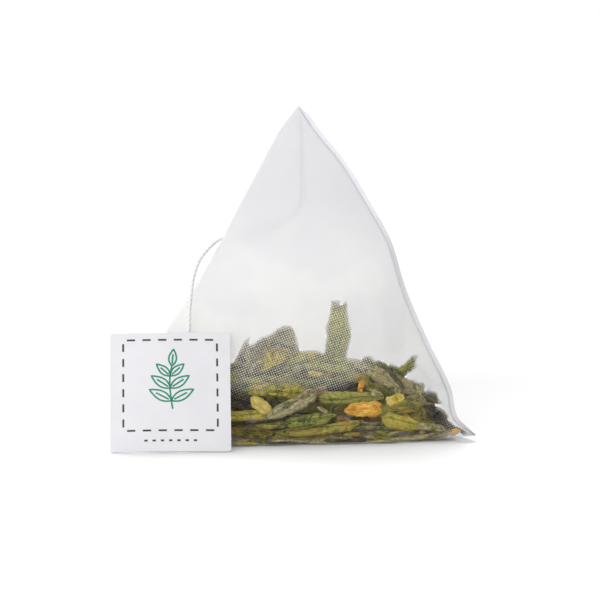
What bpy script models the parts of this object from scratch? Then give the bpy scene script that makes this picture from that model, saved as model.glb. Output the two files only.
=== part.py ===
"""Pyramid tea bag: a woven mesh pouch with loose leaf tea, a cotton string and a square paper tag.

Metres, +Z up. The front of the bag faces -Y, and the bag stands on Z = 0 with the centre of its
own box over the origin.
"""

import math
import random
from collections import namedtuple

import bmesh
import bpy
import numpy as np
from mathutils import Matrix, Vector

MM = 0.001

# Driving dimensions of the pouch
FRONT_WIDTH = 66.8 * MM
BASE_DEPTH = 56.0 * MM
APEX_HEIGHT = 60.6 * MM
APEX_SETBACK = 24.0 * MM
APEX_SHIFT = 0.4 * MM
FRONT_TURN = math.radians(5.0)
TIP_LIFT_LEFT = 0.5 * MM
TIP_LIFT_RIGHT = 1.2 * MM
TIP_LIFT_BACK = 0.8 * MM
MESH_WALL = 0.2 * MM
SEAL_WIDTH = 0.8 * MM
SEAL_ROOT = 0.7 * MM
SEAL_THICKNESS = 0.5 * MM
SEAL_TAPER = 0.04
VENT_RADIUS = 0.5 * MM
VENT_DEPTH = 3.0 * MM
VENT_SHARES = ((0.2, 0.0, 0.6, 0.2),)

# How far the filled mesh stands out of its flat faces
FRONT_BULGE = 2.4 * MM
RIGHT_BULGE = 2.8 * MM
LEFT_BULGE = 2.4 * MM
BASE_BULGE = 2.2 * MM

# Steps of the pouch's surface along each edge
POUCH_CUTS = 13
SEAL_CUTS = 13

# Clearances
TOUCH_GAP = 0.3 * MM
LEAF_GAP = 0.32 * MM

# Steps of the nets on which the leaves come to rest
CELL = 0.4 * MM
SAMPLE_STEP = 0.35 * MM
SETTLE_ROUNDS = 25
SETTLED = 0.02 * MM
STEEPEST_REST = 0.45

# Steps of a leaf along its length, and how wide its ends stay
BLADE_CUTS = 9
BLADE_END = 0.3

# How far out over the floor the leaves inside the heap may fall
FILL_SPREAD = 0.86

# Driving dimensions of the tag and the string
TAG_WIDTH = 22.0 * MM
TAG_HEIGHT = 22.5 * MM
TAG_CARD = 0.35 * MM
TAG_LEAN = math.radians(26.0)
TAG_TURN = math.radians(2.5)
TAG_FROM_LEFT_TIP = 10.2 * MM
STRING_DIAMETER = 0.7 * MM
STRING_STEP = 2.2 * STRING_DIAMETER
# The tag leans on the string, which lies between it and the bag
TAG_STANDOFF = STRING_DIAMETER + 3.0 * TOUCH_GAP

# The string's way in millimetres: down the back, round the left edge, down behind the tag to the
# table, and up to where it is stuck to the tag's back
STRING_ROUTE = (
    (0.6, -0.6, 58.9), (0.8, 1.45, 55.8), (0.8, 4.25, 51.3), (0.9, 7.25, 46.2), (0.5, 10.05, 41.4),
    (-1.3, 10.45, 38.4), (-5.2, 6.35, 37.1), (-9.2, 0.25, 36.7), (-12.3, -6.05, 36.4),
    (-14.7, -11.85, 36.1), (-16.3, -15.25, 35.1), (-17.9, -17.35, 33.3), (-19.0, -18.95, 30.6),
    (-19.5, -20.35, 27.5), (-19.8, -21.45, 24.2), (-19.9, -22.65, 20.8), (-19.9, -24.35, 17.0),
    (-19.8, -26.35, 12.6), (-19.8, -28.25, 8.2), (-20.1, -29.75, 4.2), (-21.4, -30.3, 1.5),
    (-23.8, -30.2, 0.45), (-26.8, -30.1, 0.42), (-29.0, -30.2, 0.42), (-30.4, -31.1, 0.42),
    (-30.3, -32.4, 0.42), (-28.9, -33.1, 0.42), (-26.6, -32.95, 0.6), (-24.9, -32.25, 1.8),
    (-24.1, -31.05, 3.9), (-23.9, -29.8, 6.4),
)


def clear_scene():
    """Remove every object, mesh and material that the file opened with."""
    for old in list(bpy.data.objects):
        bpy.data.objects.remove(old, do_unlink=True)
    for blocks in (bpy.data.meshes, bpy.data.curves, bpy.data.materials):
        for old in list(blocks):
            blocks.remove(old)


def new_collection(name):
    """A collection of this name, linked to the scene."""
    made = bpy.data.collections.new(name)
    bpy.context.scene.collection.children.link(made)
    return made


def principled(name, rgb, roughness):
    """A plain material of one colour."""
    material = bpy.data.materials.new(name)
    material.use_nodes = True
    shader = material.node_tree.nodes["Principled BSDF"]
    shader.inputs["Base Color"].default_value = (*rgb, 1.0)
    shader.inputs["Roughness"].default_value = roughness
    shader.inputs["Metallic"].default_value = 0.0
    material.diffuse_color = (*rgb, 1.0)
    return material


def mesh_object(name, bm, collection, material=None):
    """An object that holds this bmesh, with its faces turned outwards."""
    bmesh.ops.recalc_face_normals(bm, faces=bm.faces)
    mesh = bpy.data.meshes.new(name)
    bm.to_mesh(mesh)
    bm.free()
    made = bpy.data.objects.new(name, mesh)
    collection.objects.link(made)
    if material is not None:
        mesh.materials.append(material)
    return made


def mark_as_cutter(cutter):
    """Keep a tool shape out of the model."""
    cutter.hide_render = True
    cutter.display_type = "WIRE"


def smooth_profile(knots, t):
    """A smooth curve through the (place, height) knots, read at each t."""
    places = np.array([k[0] for k in knots])
    heights = np.array([k[1] for k in knots])
    slopes = np.gradient(heights, places)
    i = np.clip(np.searchsorted(places, t, side="right") - 1, 0, len(knots) - 2)
    span = places[i + 1] - places[i]
    f = (t - places[i]) / span
    rise = f * f * (3.0 - 2.0 * f)
    lead = f * (1.0 - f) ** 2 * slopes[i]
    trail = f * f * (f - 1.0) * slopes[i + 1]
    return heights[i] + (heights[i + 1] - heights[i]) * rise + (lead + trail) * span


class Pouch:
    """The filled pouch's skin, as a function of the shares of its four corners.

    The corners are left, right and back on the base, and the apex. A share list is one row of
    four numbers that add up to 1.
    """

    LEFT, RIGHT, BACK, APEX = range(4)

    # How far each edge bows out along its length, from its first corner to its second
    RIGHT_EDGE_BOW = (
        (0.0, 0.0), (0.08, 0.45), (0.18, 1.85), (0.32, 2.5), (0.44, 2.5),
        (0.56, 0.8), (0.72, -0.3), (0.86, -0.8), (0.95, -2.1), (1.0, 0.0),
    )
    LEFT_EDGE_BOW = (
        (0.0, 0.0), (0.07, 0.8), (0.2, 0.9), (0.42, 0.7),
        (0.54, 0.8), (0.67, 1.6), (0.85, 1.3), (1.0, 0.0),
    )
    PLAIN_BOW = ((0.0, 0.0), (0.2, 0.64), (0.5, 1.0), (0.8, 0.64), (1.0, 0.0))
    FRONT_EDGE_OUT = 1.8 * MM
    BASE_EDGE_OUT = 1.0 * MM
    BACK_EDGE_OUT = 1.2 * MM
    BASE_EDGE_DROP = 1.6 * MM
    # Tea pushes the front out low down, so its bulge leans towards the base
    LOW_LEAN = 0.9

    def __init__(self):
        half = 0.5 * FRONT_WIDTH
        along = np.array([math.cos(FRONT_TURN), math.sin(FRONT_TURN), 0.0])
        self.corners = np.array([
            -half * along + [0.0, 0.0, TIP_LIFT_LEFT],
            half * along + [0.0, 0.0, TIP_LIFT_RIGHT],
            [0.0, BASE_DEPTH, TIP_LIFT_BACK],
            [APEX_SHIFT, APEX_SETBACK, APEX_HEIGHT],
        ])
        low, high = self.box()
        centre = 0.5 * (low + high)
        self.corners -= np.array([centre[0], centre[1], low[2]])

    def outward(self, i, j, k):
        """The unit normal of the flat face through three corners, away from the fourth."""
        a, b, c = self.corners[[i, j, k]]
        normal = np.cross(b - a, c - a)
        normal /= np.linalg.norm(normal)
        inside = self.corners.mean(axis=0)
        return normal if np.dot(normal, a - inside) > 0.0 else -normal

    def edge_outward(self, i, j, k):
        """The unit direction in the face i, j, k that leads out over its edge from i to j."""
        a, b, c = self.corners[[i, j, k]]
        run = (b - a) / np.linalg.norm(b - a)
        back = c - a
        out = -(back - np.dot(back, run) * run)
        return out / np.linalg.norm(out)

    def edge_bows(self):
        """Each edge that bows: first corner, second corner, knots, direction and size."""
        down = np.array([0.0, 0.0, -1.0])
        left, right, back, apex = self.LEFT, self.RIGHT, self.BACK, self.APEX
        return (
            (apex, right, self.RIGHT_EDGE_BOW, self.edge_outward(apex, right, left), MM),
            (apex, left, self.LEFT_EDGE_BOW, self.edge_outward(apex, left, right), MM),
            (left, right, self.PLAIN_BOW, self.edge_outward(left, right, back), self.FRONT_EDGE_OUT),
            (left, back, self.PLAIN_BOW, self.edge_outward(left, back, right), self.BASE_EDGE_OUT),
            (right, back, self.PLAIN_BOW, self.edge_outward(right, back, left), self.BASE_EDGE_OUT),
            (back, apex, self.PLAIN_BOW, np.array([0.0, 1.0, 0.0]), self.BACK_EDGE_OUT),
            (left, right, self.PLAIN_BOW, down, self.BASE_EDGE_DROP),
            (left, back, self.PLAIN_BOW, down, self.BASE_EDGE_DROP),
            (right, back, self.PLAIN_BOW, down, self.BASE_EDGE_DROP),
        )

    def face_bulges(self):
        """Each face: its three corners, its bulge and how far that leans to the base."""
        left, right, back, apex = self.LEFT, self.RIGHT, self.BACK, self.APEX
        return (
            (left, right, apex, FRONT_BULGE, self.LOW_LEAN),
            (right, back, apex, RIGHT_BULGE, 0.0),
            (left, back, apex, LEFT_BULGE, 0.0),
            (left, right, back, BASE_BULGE, 0.0),
        )

    def points(self, shares):
        """Where the skin lies for each row of corner shares, before it rests on the table."""
        shares = np.atleast_2d(np.asarray(shares, dtype=float))
        places = shares @ self.corners
        for i, j, knots, direction, size in self.edge_bows():
            both = shares[:, i] + shares[:, j]
            t = np.where(both > 1e-9, shares[:, j] / np.maximum(both, 1e-9), 0.5)
            reach = smooth_profile(knots, t) * both ** 3 * size
            places = places + reach[:, None] * direction
        for i, j, k, height, lean in self.face_bulges():
            crown = 27.0 * shares[:, i] * shares[:, j] * shares[:, k]
            low = 1.0 + lean * (1.0 / 3.0 - shares[:, self.APEX]) if lean else 1.0
            places = places + (crown * low * height)[:, None] * self.outward(i, j, k)
        return places

    def resting(self, shares):
        """The skin's points as it stands, pressed flat where it meets the table."""
        places = self.points(shares)
        places[:, 2] = np.maximum(places[:, 2], 0.0)
        return places

    def seals(self):
        """Each pressed seal: its name, the edge that it runs along and the way that it stands out."""
        left, right, back, apex = self.LEFT, self.RIGHT, self.BACK, self.APEX
        upper_out = self.outward(left, right, apex) + self.outward(right, back, apex)
        lower_out = self.outward(left, back, apex) * [1.0, 1.0, 0.0]
        return (
            ("upper_seal", apex, right, upper_out / np.linalg.norm(upper_out)),
            ("lower_seal", left, back, lower_out / np.linalg.norm(lower_out)),
        )

    def box(self):
        """The lowest and highest corner of the skin and its seals."""
        steps = np.linspace(0.0, 1.0, 41)
        rows = [(a, b, 1.0 - a - b) for a in steps for b in steps if a + b <= 1.0 + 1e-9]
        flat = np.array(rows)
        shares = []
        for i, j, k, _height, _lean in self.face_bulges():
            face = np.zeros((len(flat), 4))
            face[:, [i, j, k]] = flat
            shares.append(face)
        places = [self.resting(np.concatenate(shares))]
        for _name, first, second, out in self.seals():
            strip = seal_mesh(self, first, second, out)
            places.append(np.array([v.co[:] for v in strip.verts]))
            strip.free()
        places = np.concatenate(places)
        return places.min(axis=0), places.max(axis=0)


def skin_shares():
    """An even net over the four faces of a pyramid, as a bmesh that holds corner shares."""
    bm = bmesh.new()
    bmesh.ops.create_cone(bm, cap_ends=True, segments=3, radius1=1.0, radius2=0.0, depth=1.0)
    bmesh.ops.remove_doubles(bm, verts=bm.verts, dist=1e-6)
    for vert, place in zip(bm.verts, ((0, 0, 0), (1, 0, 0), (0, 1, 0), (0, 0, 1))):
        vert.co = place
    bmesh.ops.subdivide_edges(bm, edges=bm.edges[:], cuts=POUCH_CUTS, use_grid_fill=True)
    bmesh.ops.triangulate(bm, faces=bm.faces[:])
    bm.verts.index_update()
    return bm


def pouch_mesh(pouch, inset):
    """The closed skin of the pouch, moved inwards by the inset along its own normals."""
    bm = skin_shares()
    shares = np.array([(1.0 - sum(v.co), v.co.x, v.co.y, v.co.z) for v in bm.verts])
    for vert, place in zip(bm.verts, pouch.resting(shares)):
        vert.co = place
    bmesh.ops.recalc_face_normals(bm, faces=bm.faces)
    bm.normal_update()
    moves = [vert.normal * -inset for vert in bm.verts]
    for vert, move in zip(bm.verts, moves):
        vert.co += move
        vert.co.z = max(vert.co.z, inset)
    return bm, shares


def seal_mesh(pouch, first, second, out):
    """The pressed strip along one sealed edge, which stands out of the pouch and narrows at its ends."""
    bm = bmesh.new()
    bmesh.ops.create_cube(bm, size=2.0)
    lengthwise = [e for e in bm.edges if abs(e.verts[0].co.x - e.verts[1].co.x) > 1.0]
    bmesh.ops.subdivide_edges(bm, edges=lengthwise, cuts=SEAL_CUTS, use_grid_fill=True)
    for vert in bm.verts:
        t = 0.5 + 0.5 * vert.co.x
        shares = np.zeros((3, 4))
        for row, place in enumerate((t, max(t - 0.01, 0.0), min(t + 0.01, 1.0))):
            shares[row, first] = 1.0 - place
            shares[row, second] = place
        middle, before, after = pouch.resting(shares)
        through = np.cross(after - before, out)
        through /= np.linalg.norm(through)
        narrow = min(1.0, t / SEAL_TAPER, (1.0 - t) / SEAL_TAPER)
        reach = SEAL_WIDTH * narrow if vert.co.y > 0.0 else -SEAL_ROOT
        middle[2] = max(middle[2], 0.5 * SEAL_THICKNESS)
        vert.co = middle + out * reach + through * vert.co.z * 0.5 * SEAL_THICKNESS
    return bm


def add_boolean(target, cutter, operation):
    """One exact Boolean step on the target."""
    mark_as_cutter(cutter)
    step = target.modifiers.new(cutter.name, "BOOLEAN")
    step.operation = operation
    step.solver = "EXACT"
    step.object = cutter


def build_bag(pouch, parts, cutters, material):
    """The pouch as a thin skin round its hollow, with its two pressed seals and a gap in one of them."""
    skin, _shares = pouch_mesh(pouch, 0.0)
    bag = mesh_object("mesh_bag", skin, parts, material)

    for name, first, second, out in pouch.seals():
        add_boolean(bag, mesh_object(name, seal_mesh(pouch, first, second, out), cutters), "UNION")

    hollow, _shares = pouch_mesh(pouch, MESH_WALL)
    add_boolean(bag, mesh_object("hollow", hollow, cutters), "DIFFERENCE")

    pin = bmesh.new()
    bmesh.ops.create_cone(
        pin, cap_ends=True, segments=12, radius1=VENT_RADIUS, radius2=VENT_RADIUS, depth=VENT_DEPTH
    )
    vent = mesh_object("vent", pin, cutters)
    vent.location = pouch.resting(VENT_SHARES)[0]
    left = pouch.outward(Pouch.LEFT, Pouch.BACK, Pouch.APEX)
    vent.rotation_euler = Vector(left).to_track_quat("Z", "Y").to_euler()
    add_boolean(bag, vent, "DIFFERENCE")
    return bag


class Field:
    """Heights over a flat net of cells, in a frame of its own: along, across and off the bed."""

    def __init__(self, origin, axes, half_size):
        self.origin = np.array(origin)
        self.axes = np.array(axes)
        self.low = -half_size
        count = int(2.0 * half_size / CELL) + 1
        self.height = np.full((count, count), -1.0)

    def to_bed(self, points):
        """World points in this field's frame."""
        return (points - self.origin) @ self.axes.T

    def to_world(self, points):
        """Points of this field's frame in the world."""
        return points @ self.axes + self.origin

    def cells(self, bed_points):
        """The cell that each point stands over."""
        return np.clip(((bed_points[:, :2] - self.low) / CELL).astype(int), 1, len(self.height) - 2)

    def cover(self, points):
        """Raise the field to these world points, and one cell round each."""
        bed_points = self.to_bed(points)
        cells = self.cells(bed_points)
        for step_x in (-1, 0, 1):
            for step_y in (-1, 0, 1):
                np.maximum.at(self.height, (cells[:, 0] + step_x, cells[:, 1] + step_y), bed_points[:, 2])

    def shortfall(self, points, gap):
        """How far these world points must move off the bed to clear it by the gap."""
        bed_points = self.to_bed(points)
        cells = self.cells(bed_points)
        return float((self.height[cells[:, 0], cells[:, 1]] + gap - bed_points[:, 2]).max())

    def slope_under(self, points):
        """The plane's slopes, along and across, that best fit the bed under these world points."""
        cells = np.unique(self.cells(self.to_bed(points)), axis=0)
        heights = self.height[cells[:, 0], cells[:, 1]]
        known = heights > -0.5
        if known.sum() < 6:
            return 0.0, 0.0
        spots = cells[known] * CELL
        table = np.column_stack([spots, np.ones(len(spots))])
        slopes = np.linalg.lstsq(table, heights[known], rcond=None)[0]
        return float(slopes[0]), float(slopes[1])

    def copy(self):
        """The same field, to be covered apart from this one."""
        twin = Field(self.origin, self.axes, -self.low)
        twin.height = self.height.copy()
        return twin


def surface_samples(points, triangles):
    """Points spread over the triangles, closer together than a cell of the fields."""
    found = []
    for a, b, c in triangles:
        p, q, r = points[a], points[b], points[c]
        longest = max(np.linalg.norm(q - p), np.linalg.norm(r - p), np.linalg.norm(r - q))
        n = max(1, int(math.ceil(longest / SAMPLE_STEP)))
        steps = [(i / n, j / n) for i in range(n + 1) for j in range(n + 1 - i)]
        weights = np.array(steps)
        found.append(p + weights[:, :1] * (q - p) + weights[:, 1:] * (r - p))
    return np.concatenate(found)


# One blade: its length, width and thickness in millimetres, then its shape. Bend arches it and sway
# curves it sideways, both as shares of its length. Twist is in degrees from its middle to its end.
# Fold is the depth of its lengthwise crease as a share of its half width, and crumple is in millimetres.
Blade = namedtuple("Blade", "length width thick bend sway twist fold crumple", defaults=(0, 0, 0, 0.3, 0))

# A piece that lies against the front wall: its place along the front edge and up the wall, and its turn
WallPiece = namedtuple("WallPiece", "name finish along up turn blade")

# A piece that stands on the heap: its place on the table, and its turn, pitch and roll in degrees
HeapPiece = namedtuple("HeapPiece", "name finish x y turn pitch roll blade")

FRONT_LEAVES = (
    WallPiece("chip_orange_tip", "petal_orange", 29.8, 1.6, 0, Blade(1.8, 1.0, 0.6)),
    WallPiece("leaf_right_tip", "leaf_dark", 27.0, 5.6, -36, Blade(5.6, 2.4, 0.9, 0.04)),
    WallPiece("leaf_right_tip_low", "leaf_grey", 27.4, 2.6, -4, Blade(8.0, 1.8, 0.9, 0.01)),
    WallPiece("leaf_grey_slanted", "leaf_grey", -1.0, 6.9, 25, Blade(11.8, 3.0, 1.1, 0.03, 0, 8)),
    WallPiece("petal_orange_large", "petal_orange", 12.5, 6.0, 3,
              Blade(7.4, 3.2, 0.7, 0.05, 0, 10, 0.3, 0.15)),
    WallPiece("leaf_bright_right", "leaf_yellow_green", 22.7, 4.1, -7,
              Blade(13.4, 3.4, 1.1, 0.04, 0.03, 6)),
    WallPiece("chip_pale", "petal_yellow", 18.6, 7.9, 14, Blade(3.7, 2.4, 0.8, 0.05)),
    WallPiece("leaf_long_green", "leaf_green", 10.2, 8.5, -2, Blade(13.2, 2.9, 1.2, 0.03, 0.02, 10)),
    WallPiece("petal_yellow_small", "petal_yellow", -6.4, 7.5, -35,
              Blade(4.9, 2.9, 0.7, 0.06, 0, 0, 0.3, 0.15)),
    WallPiece("leaf_lens_green", "leaf_green", 2.6, 4.6, 6, Blade(10.2, 2.9, 1.2, 0.04)),
    WallPiece("leaf_left_green", "leaf_yellow_green", -11.2, 5.8, 3, Blade(14.0, 2.3, 1.1, 0.02, 0.02)),
    WallPiece("leaf_low_middle", "leaf_olive", 4.0, 2.9, 3, Blade(17.5, 2.5, 1.1, 0.02, 0.02)),
    WallPiece("leaf_low_right", "leaf_grey", 16.8, 2.0, 1, Blade(17.5, 2.1, 1.1, 0.02)),
    WallPiece("leaf_low_left", "leaf_olive", -10.2, 2.9, -2, Blade(13.5, 2.3, 1.1, 0.02)),
    WallPiece("leaf_pale_left", "leaf_grey", -8.8, 1.2, 0, Blade(11.5, 1.6, 1.0, 0.01)),
    WallPiece("stalk_tan", "petal_tan", 1.4, 1.1, 0, Blade(8.0, 1.2, 0.8, 0.02)),
    WallPiece("petal_tan", "petal_tan", 9.7, 4.6, -25, Blade(5.0, 2.5, 0.6, 0.05, 0, 0, 0.3, 0.1)),
    WallPiece("leaf_tan_right", "petal_tan", 21.0, 2.9, -2, Blade(11.0, 1.7, 0.9, 0.02)),
    WallPiece("leaf_bright_upper", "leaf_yellow_green", -2.6, 10.3, -4,
              Blade(13.4, 3.4, 1.2, 0.05, -0.03, 8)),
    WallPiece("leaf_dark_left", "leaf_dark", -10.4, 9.0, -16, Blade(13.5, 4.4, 1.3, 0.03, 0, 12)),
    WallPiece("stalk_green", "leaf_green", 7.0, 5.6, 84, Blade(3.9, 1.3, 0.9)),
    WallPiece("bit_orange_upper", "petal_orange", 12.6, 10.6, 78, Blade(3.2, 1.4, 0.7, 0.05)),
    WallPiece("leaf_rolled_dark", "leaf_dark", 9.4, 10.9, 8, Blade(8.5, 3.0, 1.4, 0.05, 0, 10)),
    WallPiece("bit_brown_upper", "petal_tan", 5.0, 10.4, 10, Blade(3.2, 2.2, 0.8, 0.05)),
    WallPiece("leaf_grey_middle", "leaf_grey", 15.8, 12.6, -30,
              Blade(12.0, 4.4, 1.2, 0.05, 0, 20, 0.4, 0.3)),
    WallPiece("leaf_grey_right", "leaf_grey", 23.0, 9.5, -40, Blade(9.5, 3.8, 1.1, 0.05, 0, 14, 0.4, 0.3)),
    WallPiece("leaf_behind_tag_upper", "leaf_green", -19.5, 4.4, 4, Blade(13.0, 3.0, 1.2, 0.03)),
    WallPiece("leaf_behind_tag_lower", "leaf_olive", -22.0, 1.8, -2, Blade(12.5, 2.2, 1.1, 0.01)),
)

HEAP_LEAVES = (
    HeapPiece("leaf_standing", "leaf_green", 8.1, -7.6, 20, 84, 0,
              Blade(17.0, 4.6, 1.0, 0.05, 0.04, 38, 0.4, 0.2)),
    HeapPiece("leaf_mid_left", "leaf_green", -9.0, -14.5, 6, 0, 60,
              Blade(15.0, 7.6, 1.3, 0.03, 0, 10, 0.3, 0.2)),
    HeapPiece("leaf_mid_centre", "leaf_olive", 3.7, -13.9, -8, 0, 54,
              Blade(9.4, 7.4, 1.3, 0.03, 0, 14, 0.3, 0.2)),
    HeapPiece("leaf_spike", "leaf_grey", -9.8, -15.6, 60, 62, 0,
              Blade(8.5, 4.0, 1.0, 0.06, 0, 20, 0.4, 0.2)),
    HeapPiece("leaf_crumpled", "leaf_grey", -4.2, -5.5, 14, 0, 74,
              Blade(11.0, 12.4, 1.2, 0.08, 0, 22, 0.5, 0.6)),
    HeapPiece("leaf_mid_right", "leaf_green", 16.0, -8.6, -14, 0, 50,
              Blade(9.4, 6.0, 1.3, 0.04, 0, 12, 0.3, 0.2)),
    HeapPiece("leaf_pair_upper", "leaf_green", 20.4, -12.8, 6, 36, 30,
              Blade(6.2, 2.4, 0.9, 0.06, 0.05, 10)),
    HeapPiece("leaf_pair_lower", "leaf_green", 22.4, -14.4, -4, 42, 30,
              Blade(5.0, 1.8, 0.9, 0.05, 0.04, 10)),
    HeapPiece("stalk_dark", "leaf_dark", 17.8, -18.5, -8, -48, 0, Blade(7.8, 1.1, 0.9, 0.03)),
    HeapPiece("chip_dark_right", "leaf_dark", 26.0, -19.5, -10, -26, 20, Blade(4.2, 2.4, 0.9, 0.04)),
)

# Leaves of the heap's unseen inside, which fall where they lie lowest
FILL_COUNT = 19
FILL_TRIES = 12
FILL_SEED = 11
FILL_LENGTHS = (14.0, 20.0)
FILL_WIDTHS = (4.0, 5.2)
FILL_THICKNESS = (1.5, 2.1)
FILL_FINISHES = ("leaf_olive", "leaf_green", "leaf_grey", "leaf_yellow_green", "leaf_olive", "leaf_dark")

FINISHES = {
    "woven_mesh": ((0.86, 0.86, 0.88), 0.45),
    "cotton": ((0.90, 0.89, 0.87), 0.85),
    "card": ((0.90, 0.90, 0.90), 0.7),
    "leaf_green": ((0.17, 0.21, 0.07), 0.75),
    "leaf_yellow_green": ((0.36, 0.36, 0.07), 0.75),
    "leaf_olive": ((0.20, 0.19, 0.07), 0.75),
    "leaf_grey": ((0.22, 0.21, 0.15), 0.8),
    "leaf_dark": ((0.05, 0.05, 0.04), 0.7),
    "petal_orange": ((0.72, 0.33, 0.05), 0.65),
    "petal_yellow": ((0.72, 0.55, 0.13), 0.65),
    "petal_tan": ((0.45, 0.28, 0.12), 0.7),
}


def blade_mesh(blade, phase):
    """A closed leaf blade, long in X, broad in Y and thin in Z, that tapers to both its ends."""
    bm = bmesh.new()
    bmesh.ops.create_cube(bm, size=2.0)
    lengthwise = [e for e in bm.edges if abs(e.verts[0].co.x - e.verts[1].co.x) > 1.0]
    bmesh.ops.subdivide_edges(bm, edges=lengthwise, cuts=BLADE_CUTS, use_grid_fill=True)
    crosswise = [e for e in bm.edges if abs(e.verts[0].co.y - e.verts[1].co.y) > 1.0]
    bmesh.ops.subdivide_edges(bm, edges=crosswise, cuts=1, use_grid_fill=True)
    for vert in bm.verts:
        s, r, h = vert.co
        end = BLADE_END * (1.0 - 0.35 * s)
        half_width = 0.5 * blade.width * (end + (1.0 - end) * (1.0 - abs(s) ** 2.4))
        depth = 0.5 * blade.thick * (0.5 + 0.5 * (1.0 - s * s)) * (1.0 - 0.5 * r * r)
        ripple = blade.crumple * math.sin(4.1 * s + phase) * math.cos(2.3 * r + 1.7 * s + phase)
        y = r * half_width
        z = h * depth + blade.fold * half_width * abs(r) + ripple
        twist = math.radians(blade.twist) * s
        turned_y = y * math.cos(twist) - z * math.sin(twist)
        turned_z = y * math.sin(twist) + z * math.cos(twist)
        vert.co = (
            0.5 * blade.length * s,
            turned_y + blade.sway * blade.length * s * s,
            turned_z - blade.bend * blade.length * s * s,
        )
    bmesh.ops.scale(bm, verts=bm.verts, vec=(MM, MM, MM))
    bmesh.ops.triangulate(bm, faces=bm.faces[:])
    bmesh.ops.recalc_face_normals(bm, faces=bm.faces)
    bm.verts.index_update()
    return bm


def rotation(axis, degrees):
    """A turn about one axis, as a 3 by 3 array."""
    return np.array(Matrix.Rotation(math.radians(degrees), 3, axis))


class Leaf:
    """A stiff leaf that has been given its shape and waits for its place."""

    def __init__(self, name, finish, blade, phase):
        self.name = name
        self.finish = finish
        self.bm = blade_mesh(blade, phase)
        points = np.array([v.co[:] for v in self.bm.verts])
        triangles = [[v.index for v in f.verts] for f in self.bm.faces]
        self.samples = surface_samples(points, triangles)
        self.turn = np.eye(3)
        self.place = np.zeros(3)

    def placed_samples(self):
        """The leaf's surface points in the world."""
        return self.samples @ self.turn.T + self.place

    def settle(self, bed, walls, spot, own_turn, follow):
        """Lower the leaf onto the bed at a spot, clear of the walls. True if it found its place."""
        spot = np.array(spot, dtype=float)
        tilt = np.eye(3)
        for _round in range(SETTLE_ROUNDS):
            off_bed = np.array([spot[0], spot[1], 0.0])
            if follow:
                flat = self.samples @ own_turn.T + off_bed
                slope = np.clip(bed.slope_under(bed.to_world(flat)), -STEEPEST_REST, STEEPEST_REST)
                normal = Vector((-slope[0], -slope[1], 1.0)).normalized()
                tilt = np.array(Vector((0, 0, 1)).rotation_difference(normal).to_matrix())
            self.turn = bed.axes.T @ tilt @ own_turn
            self.place = bed.to_world(off_bed)
            self.place = self.place + bed.axes[2] * bed.shortfall(self.placed_samples(), LEAF_GAP)
            points = self.placed_samples()
            moved = False
            for wall in walls:
                short = wall.shortfall(points, LEAF_GAP)
                if short > SETTLED:
                    inward = bed.axes[:2] @ wall.axes[2]
                    spot += inward / np.dot(inward, inward) * short
                    moved = True
            if not moved:
                return True
        return False

    def finish_as_object(self, parts, materials):
        """The leaf's object, at its place."""
        made = mesh_object(self.name, self.bm, parts, materials[self.finish])
        whole = np.eye(4)
        whole[:3, :3] = self.turn
        whole[:3, 3] = self.place
        made.matrix_world = Matrix(whole.tolist())
        return made


def wall_field(pouch, inner, shares, missing, origin, along):
    """The inside of one wall of the pouch, as a field that looks into the pouch."""
    others = [corner for corner in range(4) if corner != missing]
    off = -pouch.outward(*others)
    across = np.cross(off, along)
    across /= np.linalg.norm(across)
    field = Field(origin, [np.cross(across, off), across, off], FRONT_WIDTH)
    points = np.array([v.co[:] for v in inner.verts])
    triangles = [
        [v.index for v in face.verts]
        for face in inner.faces
        if all(shares[v.index][missing] < 1e-6 for v in face.verts)
    ]
    field.cover(surface_samples(points, triangles))
    return field


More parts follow.
